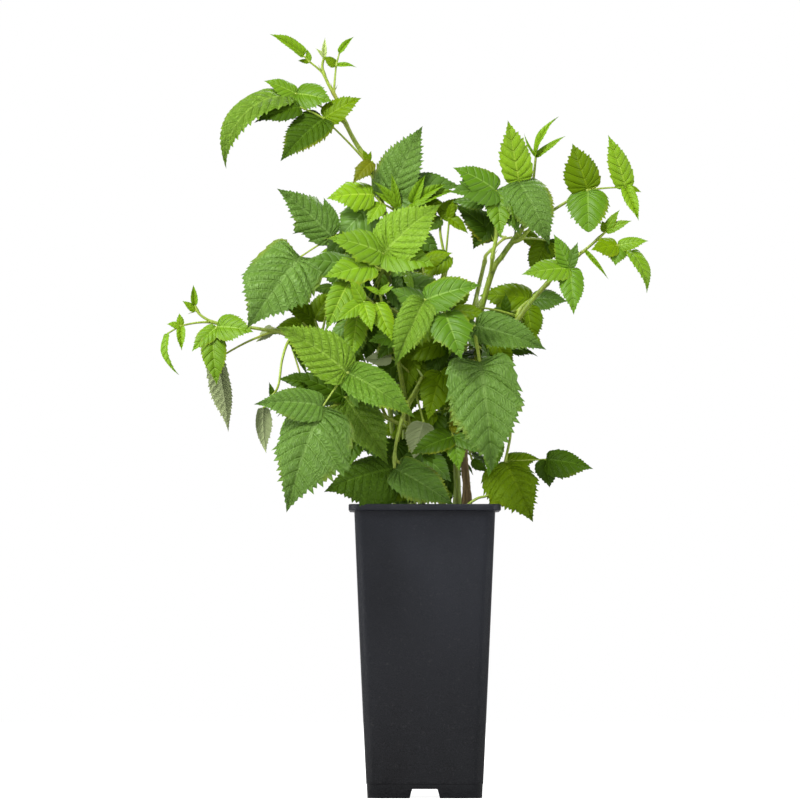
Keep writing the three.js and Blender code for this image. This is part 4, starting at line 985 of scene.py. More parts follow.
# %% Plan: finer leaves, twigs and windows
# Finer leaves stand between the large ones of a mass. Some face to a side, and show as a thin edge.
FINER = {
    "leaves_tall_tip": [
        leaf_at(0.03, [-43, 2, 484], [11.2, 10, 11, 0.45, OLIVE], [0.6, 10, 9, 0.45, OLIVE],
            [5.4, 10, 12, 0.3, DEEP_SHADE]),
    ],
    "leaves_centre_upper": [
        leaf_at(0.5, [-47, -44, 392], [7.1, 15, 43, 0.62, MATURE]),
        leaf_at(0.4, [-30, -12, 408], [6.3, 5, 30, 0.6, DEEP_SHADE], [4.6, 5, 26, 0.6, DEEP_SHADE]),
        leaf_at(0.5, [-16, -40, 402], [5.8, 45, 44, 0.6, TO_RIGHT], [6.1, -30, 42, 0.6, TO_RIGHT]),
        leaf_at(0.5, [-44, -34, 404], [6.1, 35, 44, 0.6, TO_LEFT], [6, -35, 40, 0.6, TO_LEFT]),
        leaf_at(0.7, [-38, -46, 377], [5.3, 15, 36, 0.5, MATURE], [4.8, 10, 30, 0.28, WITHERED]),
        leaf_at(0.6, [-54, -58, 358], [6, 10, 32, 0.75, MATURE], [8, 10, 23, 0.6, MATURE]),
        leaf_at(0.3, [-43, -26, 362], [6, 0, 34, 0.6, DEEP_SHADE], [7.6, 0, 28, 0.6, OLIVE]),
    ],
    "leaves_upper_left": [
        leaf_at(0.5, [-61, -4, 427], [7.1, 5, 26, 0.62, MATURE], [5, 5, 26, 0.6, DEEP_SHADE]),
        leaf_at(0.3, [-64, 6, 412], [7.3, 0, 17, 0.8, OLIVE]),
        leaf_at(0.9, [-69, -17, 430], [11.35, 0, 27, 0.5, MATURE]),
    ],
    "leaves_middle_top": [
        leaf_at(0.1, [-12, 8, 434], [6, 0, 30, 0.6, DEEP_SHADE], [4.4, 0, 32, 0.6, MATURE]),
        leaf_at(0.5, [-17, 9, 463], [2.85, 0, 46, 0.6, MATURE]),
        leaf_at(0.3, [-4, 4, 452], [3.4, 5, 26, 0.55, OLIVE], [4.6, 5, 22, 0.6, OLIVE]),
    ],
    "leaves_middle_thin": [
        leaf_at(0.1, [18, -12, 412], [7.6, 10, 28, 0.7], [8.4, 5, 30, 0.5, DEEP_SHADE]),
    ],
    "leaves_centre": [
        leaf_at(0.1, [15, -26, 344], [8.4, 10, 38, 0.6, OLIVE], [6.9, 10, 30, 0.6, DEEP_SHADE]),
        leaf_at(0.2, [22, -38, 368], [5, 10, 34, 0.6, MATURE], [3.2, 10, 26, 0.6, OLIVE]),
        leaf_at(0.3, [-14, -36, 356], [7.3, 5, 34, 0.7, DEEP_SHADE]),
        leaf_at(0.2, [22, -22, 373], [1.4, 0, 22, 0.6, OLIVE]),
        leaf_at(0.4, [16, -46, 366], [5.9, 45, 46, 0.6, TO_RIGHT], [6, -30, 44, 0.6, TO_RIGHT]),
    ],
    "leaves_low_inner": [
        leaf_at(0.3, [-58, -34, 340], [6.2, 5, 36, 0.6, DEEP_SHADE], [8.4, 5, 30, 0.6, OLIVE]),
        leaf_at(0.6, [-114, -50, 300], [11.6, 5, 15, 0.34, DEEP_SHADE]),
        leaf_at(0.6, [-92, -46, 313], [9.3, 5, 19, 0.4, DEEP_SHADE], end=[-102, -48, 345],
            last=[[5.1, 0, 31, 0.3, dict(age="deep", fold=50)]]),
        leaf_at(0.8, [-94, -84, 287], [7.7, 5, 20, 0.6, BRIGHT]),
        leaf_at(0.4, [-80, -50, 311], [9.35, 0, 31, 0.5, DEEP_SHADE]),
        leaf_at(0.5, [-50, -44, 278], [6.4, 5, 30, 0.6, MID], [5, 5, 26, 0.6, MATURE]),
        leaf_at(0.8, [-50, -55, 306], [5.8, 15, 51, 0.55, MATURE]),
        leaf_at(0.5, [-48, -36, 308], [6, 40, 44, 0.6, dict(TO_LEFT, age="mature")],
            [6, -35, 42, 0.6, TO_LEFT]),
    ],
    "leaves_left_shade": [
        leaf_at(0.6, [-90, 2, 340], [4, 10, 26, 0.6, DEEP_SHADE]),
        leaf_at(0.3, [-70, 0, 388], [8.6, 0, 16, 0.6, DEEP_SHADE]),
        leaf_at(0.3, [-93, 2, 361], [8.3, 0, 26, 0.6, OLIVE]),
        leaf_at(0.3, [-66, 0, 350], [4.5, 10, 30, 0.6, DEEP_SHADE], [1.2, 10, 26, 0.6, MATURE]),
    ],
    "leaves_low_front": [
        leaf_at(0.5, [-20, -18, 270], [6.7, 5, 38, 0.7, DEEP_SHADE], [5.2, 5, 34, 0.6, DEEP_SHADE]),
        leaf_at(0.6, [-4, -24, 262], [6, 5, 38, 0.7, DEEP_SHADE], [4.5, 5, 34, 0.7, MATURE]),
        leaf_at(0.3, [-25, -40, 333], [8.9, 0, 22, 0.6, UNDERSIDE]),
        leaf_at(0.9, [-26, -37, 231], [8.4, 5, 25, 0.7, MATURE], [3.7, 5, 23, 0.7, MATURE]),
        leaf_at(0.9, [-8, -40, 235], [3.5, 5, 32, 0.6, DEEP_SHADE], [8, 5, 24, 0.6, OLIVE]),
        leaf_at(0.95, [-27, -42, 243], [7.6, 5, 10, 0.5, WITHERED], [4.5, 5, 10, 0.5, WITHERED]),
    ],
    "leaves_low_middle": [
        leaf_at(0.2, [-2, -50, 318], [10.8, 10, 8, 0.35, BUD]),
        leaf_at(0.2, [-10, -24, 346], [6.15, 5, 46, 0.45, OLIVE], [5.5, 5, 40, 0.45, OLIVE]),
        leaf_at(0.3, [-4, -20, 326], [6.4, 5, 36, 0.45, OLIVE], [5, 5, 30, 0.5, DEEP_SHADE]),
        leaf_at(0.3, [24, -22, 320], [8.2, 5, 14, 0.8, UNDERSIDE], [6.6, 5, 34, 0.6, OLIVE]),
        leaf_at(0.8, [19, -44, 281], [4.4, 10, 11, 0.5, WITHERED], [1.4, 10, 9, 0.5, WITHERED]),
        leaf_at(0.6, [8, -20, 292], [6.3, 5, 36, 0.6, DEEP_SHADE], [8, 5, 30, 0.6, OLIVE]),
        leaf_at(0.5, [36, -22, 256], [4.3, 5, 16, 0.6, DEEP_SHADE]),
        leaf_at(0.5, [34, -24, 280], [4.9, 5, 30, 0.42, OLIVE], [6.8, 5, 24, 0.5, DEEP_SHADE]),
    ],
    "leaves_low_right": [
        leaf_at(0.2, [50, -34, 350], [5, 10, 34, 0.5, OLIVE], [6.5, 5, 34, 0.6, DEEP_SHADE]),
        leaf_at(0.4, [46, -50, 336], [6, 45, 46, 0.6, TO_RIGHT], [6.1, -35, 46, 0.6, TO_RIGHT]),
        leaf_at(0.8, [55, -62, 270], [6.6, 10, 30, 0.5, MID]),
    ],
    "leaves_right_inner": [
        leaf_at(0.4, [62, -2, 368], [8.2, 5, 26, 0.6, DEEP_SHADE], [4.7, 5, 24, 0.6, DEEP_SHADE],
            [12, 10, 16, 0.5, DEEP_SHADE]),
        leaf_at(0.1, [40, -16, 372], [11.9, 10, 12, 0.35, BUD], [1, 10, 10, 0.3, BUD]),
        leaf_at(0.8, [78, 10, 374], [5.65, 5, 30, 0.75]),
    ],
    "leaves_low_left": [
        leaf_at(0.4, [-50, -76, 322], [6, 45, 44, 0.6, TO_LEFT], [6, -35, 42, 0.6, TO_LEFT]),
    ],
    "leaves_back_middle": [
        leaf_at(0.15, [-12, 26, 334], [6.1, 0, 48, 0.8, DEEP_SHADE], [8, 5, 36, 0.7, DEEP_SHADE]),
        leaf_at(0.2, [12, 28, 334], [5.7, 0, 46, 0.75, OLIVE], [3.9, 5, 34, 0.7, DEEP_SHADE]),
        leaf_at(0.1, [-8, 20, 366], [8.7, 0, 34, 0.7, DEEP_SHADE], [6.2, 0, 30, 0.7, DEEP_SHADE]),
    ],
    "leaves_back_rim": [
        leaf_at(0.15, [-6, 30, 286], [6.2, 0, 46, 0.8, DEEP_SHADE], [8.3, 5, 32, 0.7, OLIVE]),
        leaf_at(0.1, [16, 22, 290], [5.8, 0, 44, 0.8, DEEP_SHADE], [4, 5, 30, 0.7, DEEP_SHADE]),
        leaf_at(0.3, [2, 30, 256], [6.9, 0, 32, 0.8, DEEP_SHADE], [5, 0, 32, 0.8, DEEP_SHADE]),
        leaf_at(0.2, [18, 14, 262], [6, 0, 42, 0.5, DEEP_SHADE]),
    ],
    "leaves_right_neck": [
        leaf_at(0.3, [54.5, 8, 428], [10.2, 0, 40, 0.6, DEEP_SHADE]),
        leaf_at(0.7, [46, -4, 452], [9, 0, 26, 0.5, MATURE]),
        leaf_at(0.8, [66, -8, 450], [6, 60, 36, 0.6, TO_RIGHT], [5.8, -50, 34, 0.6, TO_RIGHT]),
    ],
    "leaves_right_side": [
        leaf_at(0.25, [94, 8, 424], [6.85, 0, 31, 0.66, OLIVE], [4.9, 0, 18, 0.7, DEEP_SHADE]),
    ],
}

# Thin twigs that bear no leaf of their own and run on to another stalk.
TWIGS = [
    [[27, -39, 214], [32, -42, 221], [40, -42, 226.5], [48, -37, 229], [53, -33, 238], [61, -28, 253]],
    [[-99, -14, 351], [-104, -34, 344], [-108, -44, 330], [-111, -50, 310], [-119, -70, 299]],
    [[-2, -50, 318], [-8, -50, 307], [-15, -47, 295], [-17, -43, 288]],
]
TWIG_RADII = [1.15, 0.8]

# Windows of sky among the leaves: least x and z, and most x and z. A seeded leaflet isn't grown where it
# would show in one from an eye that is straight in front.
WINDOWS = [[19, 396, 50, 422], [58, 394, 78, 422], [63, 303, 92, 334], [67, 268, 84, 299]]
EYE = np.array([-18.7, -5000, 150])

print(sum(map(len, FINER.values())), "finer leaves,", len(TWIGS), "twigs and", len(WINDOWS), "windows")

# %% [markdown]
# ## Growing the plant
#
# The frame's masses of leaves were grown from this plan by a short rule, and the same rule is written here
# again, so that every leaf stands where its plain one does. A limb, a stem or a stalk is a smooth curve
# through its points. A stem starts just clear of the bark that bears it. A leaf is a stalk, a hub, often a
# second stretch to an end, and leaflets that point to an hour of the clock. A mass that only has a seed
# deals its leaves out by a small number generator and keeps those that stand clear of what is there. The
# same rule then deals out smaller leaves between the large ones, and opens the windows again.

# %% Curves
def curve_point(points, share):
    """The place at a share of a smooth curve through points."""
    spans = len(points) - 1
    span = min(int(share * spans), spans - 1)
    weight = share * spans - span
    start, end = points[span], points[span + 1]
    before = points[span - 1] if span > 0 else 2 * start - end
    after = points[span + 2] if span + 2 <= spans else 2 * end - start
    leave, arrive = (end - before) / 2, (after - start) / 2
    square, cube = weight ** 2, weight ** 3
    return (start * (2 * cube - 3 * square + 1) + end * (3 * square - 2 * cube)
            + leave * (cube - 2 * square + weight) + arrive * (cube - square))


def unit(way):
    return way / np.linalg.norm(way)


def curve_way(points, share):
    """The way that a curve runs at a share."""
    step = 0.0001
    return unit(curve_point(points, min(share + step, 1)) - curve_point(points, max(share - step, 0)))


def curve_points(points, steps):
    return np.array([curve_point(points, i / steps) for i in range(steps + 1)])


def turned(way, axis, degrees):
    """A way turned about an axis of length one."""
    angle = math.radians(degrees)
    return (way * math.cos(angle) + np.cross(axis, way) * math.sin(angle)
            + axis * axis.dot(way) * (1 - math.cos(angle)))


def clock_way(hour, lean):
    """The way of a clock hour seen from the front, leaning out of the clock's face."""
    turn, lean = hour * math.pi / 6, math.radians(lean)
    return np.array([math.sin(turn) * math.cos(lean), -math.sin(lean), math.cos(turn) * math.cos(lean)])


def compass_way(turn, rise):
    """The way of a compass turn, 0 to the right and 90 to the back, rising by some degrees."""
    turn, rise = math.radians(turn), math.radians(rise)
    return np.array([math.cos(turn) * math.cos(rise), math.sin(turn) * math.cos(rise), math.sin(rise)])


def seeded_random(seed):
    """Park and Miller's generator, from 0 to 1."""
    state = seed * 7919
    while True:
        state = state * 16807 % 2147483647
        yield state / 2147483647


def between(limits, random):
    return limits[0] + (limits[1] - limits[0]) * next(random)


# %% Limbs
UPRIGHT_FOOT = 22  # a cane leaves the compost straight up for this far


def share_on(limb, height):
    """The share of a limb at its ring nearest to a height, or at its tip."""
    if height == "tip":
        return 1
    steps = (len(limb["path"]) - 1) * 2
    return min((i / steps for i in range(steps + 1)),
               key=lambda share: abs(curve_point(limb["path"], share)[2] - height))


def start_on(limb, height, goal, radius):
    """The first points of a stem: clear of the limb at a height, or straight on from its cut tip."""
    share = share_on(limb, height)
    middle = curve_point(limb["path"], share)
    way = curve_way(limb["path"], share)
    if share == 1:
        return [middle + way * SEAM, middle + way * (SEAM + 3 * radius)]
    toward_goal = unit(goal - middle)
    steep = abs(toward_goal.dot(way))
    bark = limb["radii"][0] + (limb["radii"][1] - limb["radii"][0]) * share
    return [middle + toward_goal * (bark + radius * steep + SEAM) / math.sqrt(1 - steep ** 2)]


def grow_limbs():
    limbs = {}
    for row in LIMBS:
        points = [np.array(point, float) for point in row["points"]]
        if row["on"]:
            points = start_on(limbs[row["on"][0]], row["on"][1], points[0], row["radii"][0]) + points
        else:
            points[0][2] = COMPOST_TOP + SEAM
            points.insert(1, points[0] + (0, 0, UPRIGHT_FOOT))
        limbs[row["name"]] = {**row, "path": points}
    return limbs


# %% Leaves by the plan and by seed
LEAF_FOLD = 12
LEAF_ARCH = 30
LEAF_FACE = 30
STALK_RADIUS = 0.95
RACHIS_RADIUS = 0.8


def planned_leaflet(root, hour, lean, length, ratio, habit=None):
    habit = habit or {}
    face = math.radians(habit.get("face", LEAF_FACE))
    look = np.array(habit.get("look", [0, -math.cos(face), math.sin(face)]))
    return {"length": length, "width": length * ratio, "arch": LEAF_ARCH, "roll": 0, **habit,
            "root": root, "along": clock_way(hour, lean), "look": look}


def planned_leaf(path, row):
    foot = curve_point(path, row["at"])
    hub = foot if row["hub"] is None else np.array(row["hub"], float)
    leaflets = [planned_leaflet(hub, *leaflet) for leaflet in row["leaflets"]]
    stalks = [] if row["hub"] is None else [(foot, hub, STALK_RADIUS)]
    if row["end"]:
        end = np.array(row["end"], float)
        stalks.append((hub, end, RACHIS_RADIUS))
        leaflets += [planned_leaflet(end, *leaflet) for leaflet in row["last"]]
    return {"stalks": stalks, "leaflets": leaflets}


def seeded_leaf(path, share, turn, size, random):
    """A leaf on a stalk of its own, whose three leaflets face up and outwards."""
    foot = curve_point(path, share)
    stalk_way = compass_way(turn, between(STALK_RISE, random))
    hub = foot + stalk_way * size * between(SEEDED_STALK, random)
    leaf_way = compass_way(turn, between(LEAF_DROOP, random))
    end = hub + leaf_way * size * SEEDED_RACHIS
    look = compass_way(turn, SEEDED_LOOK_RISE)
    normal = unit(look - leaf_way * look.dot(leaf_way))
    length = size * between(SEEDED_TERMINAL, random)

    def blade(root, way, long):
        return {"root": root, "along": way, "look": look, "length": long, "width": long * SEEDED_RATIO,
                "arch": LEAF_ARCH, "roll": 0}

    sides = [blade(hub, turned(leaf_way, normal, hand * SEEDED_SIDE_TURN), length * SEEDED_SIDE_SHARE)
             for hand in (-1, 1)]
    return {"stalks": [(foot, hub, STALK_RADIUS), (hub, end, RACHIS_RADIUS)],
            "leaflets": [blade(end, leaf_way, length)] + sides}


def face_ways(leaflet):
    """The upward way of a leaflet at its middle, and the way across it."""
    along = leaflet["along"]
    normal = unit(leaflet["look"] - along * leaflet["look"].dot(along))
    normal = turned(normal, along, leaflet["roll"])
    return normal, np.cross(along, normal)


def rib_place(leaflet, normal, share):
    """A place on the arched midrib."""
    bend = math.radians(leaflet["arch"])
    reach = leaflet["length"] / bend
    lean = bend * (share - 0.5)
    return (leaflet["root"] + leaflet["along"] * (math.sin(lean) + math.sin(bend / 2)) * reach
            + normal * (math.cos(lean) - math.cos(bend / 2)) * reach)


# %% Keeping seeded leaves clear
CLEARANCE = 5
LIMB_SAMPLES = 40
STEM_SAMPLES = 12
ROOT_START = 0.8
LEAF_ROOT_HALF = 0.5
LEAF_THICKNESS_SHARE = 1 / 65
LEAF_STATIONS = [[0.3, 0.96], [0.66, 0.72]]  # share of the length, share of the widest half
SMALL_LEAF_STATIONS = [[0.42, 1]]
SMALL_LEAF = 36


def plain_corners(leaflet):
    """The left, top and right corners of a plain leaflet, ring by ring, and its tip."""
    normal, across = face_ways(leaflet)
    fold, bend = math.radians(LEAF_FOLD), math.radians(leaflet["arch"])
    root = leaflet["root"] + leaflet["along"] * ROOT_START
    aside, above = across * LEAF_ROOT_HALF, normal * LEAF_ROOT_HALF
    rings = [[root - aside, root + above, root + aside]]
    for share, wide in SMALL_LEAF_STATIONS if leaflet["length"] < SMALL_LEAF else LEAF_STATIONS:
        lean = bend * (share - 0.5)
        upward = normal * math.cos(lean) + leaflet["along"] * math.sin(lean)
        middle = rib_place(leaflet, normal, share)
        reach = leaflet["width"] / 2 * wide
        side, rise = across * reach * math.cos(fold), upward * reach * math.sin(fold)
        thick = leaflet["length"] * LEAF_THICKNESS_SHARE
        rings.append([middle - side + rise, middle + upward * thick / 2, middle + side + rise])
    return rings, rib_place(leaflet, normal, 1)


def points_between(start, end):
    """Points along a stretch, a clearance apart or less, without its start."""
    count = math.ceil(np.linalg.norm(end - start) / CLEARANCE)
    return [start + (end - start) * (i + 1) / count for i in range(count)]


def samples_of(leaf):
    """Points spread over a leaf, close enough together that no limb slips between them."""
    samples = [place for start, end, _ in leaf["stalks"] for place in points_between(start, end)]
    for leaflet in leaf["leaflets"]:
        rings, tip = plain_corners(leaflet)
        for ring, after in zip(rings, rings[1:] + [[tip] * 3]):
            left, rib, right = [points_between(start, end) for start, end in zip(ring, after)]
            samples += left + rib + right
            for edge in (left, right):
                samples += [(place + rib[min(i, len(rib) - 1)]) / 2 for i, place in enumerate(edge)]
    return samples


def clear_of(samples, others, clearance):
    return all(others.find(sample)[2] > clearance for sample in samples)


def tree_of(places):
    tree = KDTree(len(places))
    for i, place in enumerate(places):
        tree.insert(place, i)
    tree.balance()
    return tree


def dealt_leaves(shoot, random, others, count, share_of_size, gaps):
    """Deals leaves out along a seeded stem, and keeps those that stand clear."""
    leaves = []
    own = None
    low, high = np.array(shoot["space"], float)
    for _ in range(count * SEEDED_TRIES):
        if len(leaves) == count:
            break
        share = between([SEEDED_BARE_SHARE, 1], random)
        turn = shoot["toward"] + between([-SEEDED_SPREAD / 2, SEEDED_SPREAD / 2], random)
        leaf = seeded_leaf(shoot["path"], share, turn, shoot["size"] * share_of_size, random)
        samples = samples_of(leaf)
        inside = all((low <= sample).all() and (sample <= high).all() for sample in samples)
        clear = inside and clear_of(samples, others, gaps[0])
        if clear and (own is None or clear_of(samples, own, gaps[1])):
            leaves.append(leaf)
            own = tree_of(leaf_samples(leaves))
    return leaves


# %% The whole plant
LARGE_GAPS = (CLEARANCE, 3)  # from what is there, and from the mass's own leaves
FINER_LEAVES = 6  # smaller leaves that each seeded mass gets between its large ones
FINER_SIZE = 0.62
FINER_GAPS = (2.5, 2)


def planned_shoot(row, limbs):
    points = [np.array(point, float) for point in row["stem"]]
    points = start_on(limbs[row["on"][0]], row["on"][1], points[0], row["radii"][0]) + points
    leaves = [planned_leaf(points, leaf) for leaf in row["leaves"]]
    return {**row, "path": points, "leaves": leaves}


def seeded_stem(row, limbs):
    limb = limbs[row["on"][0]]
    way = compass_way(row["toward"], row["rise"])
    start = curve_point(limb["path"], share_on(limb, row["on"][1]))
    middle = start + way * row["reach"] * SEEDED_STEM_MIDDLE
    tip = start + way * row["reach"] - np.array([0, 0, row["reach"] * SEEDED_STEM_SAG])
    points = start_on(limb, row["on"][1], middle, SEEDED_STEM_RADII[0]) + [middle, tip]
    return {**row, "path": points, "radii": SEEDED_STEM_RADII, "leaves": []}


def leaf_samples(leaves):
    return [place for leaf in leaves for place in samples_of(leaf)]


def shoot_samples(shoot):
    return list(curve_points(shoot["path"], STEM_SAMPLES)) + leaf_samples(shoot["leaves"])


def in_window(leaflet):
    """Whether a leaflet shows in a window, seen from the eye."""
    rings, tip = plain_corners(leaflet)
    places = [corner for ring in rings for corner in ring] + [tip]
    places.append((rings[-1][1] + tip) / 2)
    for place in places:
        x, _, z = EYE + (place - EYE) * EYE[1] / (EYE[1] - place[1])
        if any(low_x < x < high_x and low_z < z < high_z for low_x, low_z, high_x, high_z in WINDOWS):
            return True
    return False


def keep_windows_open(shoot):
    """Takes away the leaflets that show in a window, and the stalks that are left with none."""
    for leaf in shoot["leaves"]:
        leaf["leaflets"] = [leaflet for leaflet in leaf["leaflets"] if not in_window(leaflet)]
    shoot["leaves"] = [leaf for leaf in shoot["leaves"] if leaf["leaflets"]]


def grow_plant():
    limbs = grow_limbs()
    planned = [planned_shoot(row, limbs) for row in SHOOTS]
    seeded = [seeded_stem(row, limbs) for row in SEEDED_SHOOTS]
    randoms = [seeded_random(shoot["seed"]) for shoot in seeded]
    taken = [place for limb in limbs.values() for place in curve_points(limb["path"], LIMB_SAMPLES)]
    for shoot in planned:
        taken += shoot_samples(shoot)
    for shoot, random in zip(seeded, randoms):
        shoot["leaves"] = dealt_leaves(shoot, random, tree_of(taken), SEEDED_LEAVES, 1, LARGE_GAPS)
        taken += shoot_samples(shoot)
    for shoot in planned + seeded:
        finer = [planned_leaf(shoot["path"], leaf) for leaf in FINER.get(shoot["name"], [])]
        taken += leaf_samples(finer)
        shoot["leaves"] += finer
    for shoot, random in zip(seeded, randoms):
        finer = dealt_leaves(shoot, random, tree_of(taken), FINER_LEAVES, FINER_SIZE, FINER_GAPS)
        taken += leaf_samples(finer)
        shoot["leaves"] += finer
        keep_windows_open(shoot)
        print(shoot["name"], len(shoot["leaves"]), "leaves")
    return limbs, planned + seeded


limbs, shoots = grow_plant()
print(sum(len(leaf["leaflets"]) for shoot in shoots for leaf in shoot["leaves"]), "leaflets")

# %% [markdown]
# ## Bark
#
# A raspberry's young cane is green, smooth and a little waxy, with fine lines along it and a brownish
# flush. The older cane has dry grey-brown bark that splits in strips. Both are stretched noise: the same
# patches group pulled long along the cane gives lines on the green bark and strips on the brown.

# %% Bark finishes
UPRIGHT_LINES = (1, 1, 0.06)


def green_bark():
    finish = Finish("green_bark", 0.52, 0.4)
    lines = finish.patches(900, stretch=UPRIGHT_LINES)
    tone = finish.mix(lines, "566a0a", "768e1a")
    tone = finish.tinge(tone, finish.patches(45, low=0.45, high=0.75), 0.35, "66521a")
    tone = finish.tinge(tone, finish.patches(700, low=0.62, high=0.7), 0.3, "94945c")
    finish.raise_by(lines, mm(0.15), 0.5)
    return finish.done(tone)


def woody_bark():
    finish = Finish("woody_bark", 0.85, 0.25)
    strips = finish.patches(520, stretch=UPRIGHT_LINES, detail=6)
    tone = finish.mix(strips, "40341c", "7c6c44")
    tone = finish.tinge(tone, finish.patches(60), 0.4, "6b5a42")
    finish.raise_by(strips, mm(0.5), 0.9)
    return finish.done(tone)


# %% [markdown]
# ## Canes
#
# Each cane is a Bezier curve through its plan's points, given a round bevel and a radius at each point, as
# one draws a branch by hand. It is made a mesh, a Displace modifier with a cloud texture roughens it, and
# its skin is swollen where a shoot leaves it, as at a real node. Prickles are tiny cones in one pile.

# %% Canes
CANE_STEPS = 34  # rings between two points of the plan
CANE_ROUND = 4
NODE_SWELLING = 0.55
NODE_LENGTH = 3.2
WOODY = ("cane_woody",)
WOODY_GRAIN = 0.9  # depth of the relief in millimetres
SMOOTH_GRAIN = 0.25


def in_frame(place):
    """A place of the plan, in metres in the frame."""
    return Vector((place[0] + CROWN_SHIFT_X, place[1], place[2])) * MILLIMETRE


def add_curve(name, path, radii, flare):
    """A round tapering curve object through plan points."""
    deselect()
    bpy.ops.curve.primitive_bezier_curve_add(location=(0, 0, 0))
    curve = bpy.context.object
    curve.name = name
    spline = curve.data.splines[0]
    spline.bezier_points.add(len(path) - 2)
    places = [in_frame(point) for point in path]
    before = [2 * places[0] - places[1]] + places[:-1]
    after = places[1:] + [2 * places[-1] - places[-2]]
    for i, knot in enumerate(spline.bezier_points):
        reach = (after[i] - before[i]) / 6
        knot.handle_left_type = knot.handle_right_type = "FREE"
        knot.co = places[i]
        knot.handle_left = places[i] - reach
        knot.handle_right = places[i] + reach
        taper = radii[0] + (radii[1] - radii[0]) * i / (len(places) - 1)
        knot.radius = taper / radii[0] * (flare if i == 0 else 1)
    curve.data.dimensions = "3D"
    curve.data.bevel_depth = mm(radii[0])
    curve.data.bevel_resolution = CANE_ROUND
    curve.data.resolution_u = CANE_STEPS
    curve.data.use_fill_caps = True
    bpy.ops.object.convert(target="MESH")
    cane = bpy.context.object
    bpy.ops.object.mode_set(mode="EDIT")
    bpy.ops.mesh.select_all(action="SELECT")
    bpy.ops.mesh.remove_doubles(threshold=1e-6)
    bpy.ops.mesh.normals_make_consistent(inside=False)
    bpy.ops.object.mode_set(mode="OBJECT")
    return cane


def swell_nodes(cane, nodes):
    """Swells the bark round the places where shoots leave it."""
    for point in cane.data.vertices:
        near = min(((point.co - node).length for node in nodes), default=1)
        lift = mm(NODE_SWELLING) * math.exp(-(near / mm(NODE_LENGTH)) ** 2)
        point.co += point.normal * lift


def make_canes(limbs, shoots):
    grain = bpy.data.textures.new("bark_grain", "CLOUDS")
    grain.noise_scale = 0.0035
    green, woody = green_bark(), woody_bark()
    boughs = [limb for limb in limbs.values() if limb["on"]]
    nodes = [in_frame(bearer["path"][0]) for bearer in shoots + boughs]
    for name, limb in limbs.items():
        cane = add_curve("bark_of_" + name, limb["path"], limb["radii"], limb["flare"])
        is_woody = name in WOODY
        depth = mm(WOODY_GRAIN if is_woody else SMOOTH_GRAIN)
        apply_modifier(cane, "DISPLACE", texture=grain, strength=depth, texture_coords="GLOBAL")
        swell_nodes(cane, nodes)
        keep(cane, [woody if is_woody else green], [name], smooth=50)


make_canes(limbs, shoots)

# %% [markdown]
# ## Stems, stalks and prickles
#
# Shoots and leaf stalks are the thin yellow-green tubes between canes and leaflets. A stalk is thicker
# where it grips its stem, bows up a little and ends in a small swelling that the leaflets sit on. Two
# thread-like stipules stand at its foot. A curve for each could be made as the canes are, but there
# are hundreds of them and each has only a few faces, so they are all drawn as tubes from arrays, each kind
# in one pile.

# %% Stalk finish
def stalk_skin():
    finish = Finish("stalk_skin", 0.5, 0.4)
    lines = finish.patches(1200, stretch=(1, 1, 0.3))
    tone = finish.mix(lines, "6c801c", "8fa43a")
    tone = finish.tinge(tone, finish.patches(60, low=0.5, high=0.8), 0.35, "846824")
    finish.raise_by(lines, mm(0.1), 0.4)
    return finish.done(tone)


# %% Stems and stalks
STEM_SIDES = 10
STALK_SIDES = 7
STALK_STEPS = 8
STALK_BOW = (0.01, 0.05)  # least and most, as shares of the length
STALK_GRIP = 0.55  # how much thicker a stalk is at its foot, and how far that reaches
STALK_GRIP_REACH = 0.1
STALK_PAD = 0.3  # the same for the swelling at its end
STALK_PAD_REACH = 0.06
LEAF_SCAR = 0.35  # how much a stem swells where a leaf leaves it
LEAF_SCAR_REACH = 2.5
STIPULE_LENGTH = 5.5
STIPULE_RADII = [0.42, 0.3, 0.06]
PRICKLE_GAP = 3.2  # millimetres of cane for each prickle
PRICKLE_LENGTH = 1.1
PRICKLE_RADII = [0.34, 0.2, 0.04]
PRICKLE_HOOK = 0.35


def stem_tube(shoot, dice):
    """A shoot's stem, swollen a little where its leaves leave it."""
    steps = (len(shoot["path"]) - 1) * 8
    shares = np.arange(steps + 1) / steps
    radii = shoot["radii"][0] + (shoot["radii"][1] - shoot["radii"][0]) * shares
    middles = curve_points(shoot["path"], steps)
    for leaf in shoot["leaves"]:
        if leaf["stalks"]:
            gap = np.linalg.norm(middles - leaf["stalks"][0][0], axis=1)
            radii = radii + LEAF_SCAR * np.exp(-(gap / LEAF_SCAR_REACH) ** 2)
    return tube_shape(middles, radii * dice.uniform(0.97, 1.03, len(radii)), STEM_SIDES)


def stalk_tube(start, end, radius, bow):
    """A stalk that bows up from its foot and ends in a small swelling."""
    shares = np.linspace(0, 1, STALK_STEPS + 1)
    middles = start + np.outer(shares, end - start)
    middles[:, 2] += bow * np.linalg.norm(end - start) * np.sin(math.pi * shares)
    grip = STALK_GRIP * np.exp(-shares / STALK_GRIP_REACH)
    pad = STALK_PAD * np.exp(-(1 - shares) / STALK_PAD_REACH)
    return tube_shape(middles, radius * (1.02 - 0.3 * shares + (grip + pad)), STALK_SIDES)


def stipules(start, end, dice):
    """Two threads beside the foot of a stalk."""
    way = unit(end - start)
    side = unit(np.cross(way, (0.2, 0.3, 1)))
    for hand in (-1, 1):
        lean = unit(way + side * hand * 0.7 + (0, 0, 0.35))
        length = STIPULE_LENGTH * dice.uniform(0.6, 1.2)
        foot = start + way * 2.5 + side * hand * 0.6
        yield [foot, foot + lean * length * 0.5, foot + lean * length + way * 0.8]


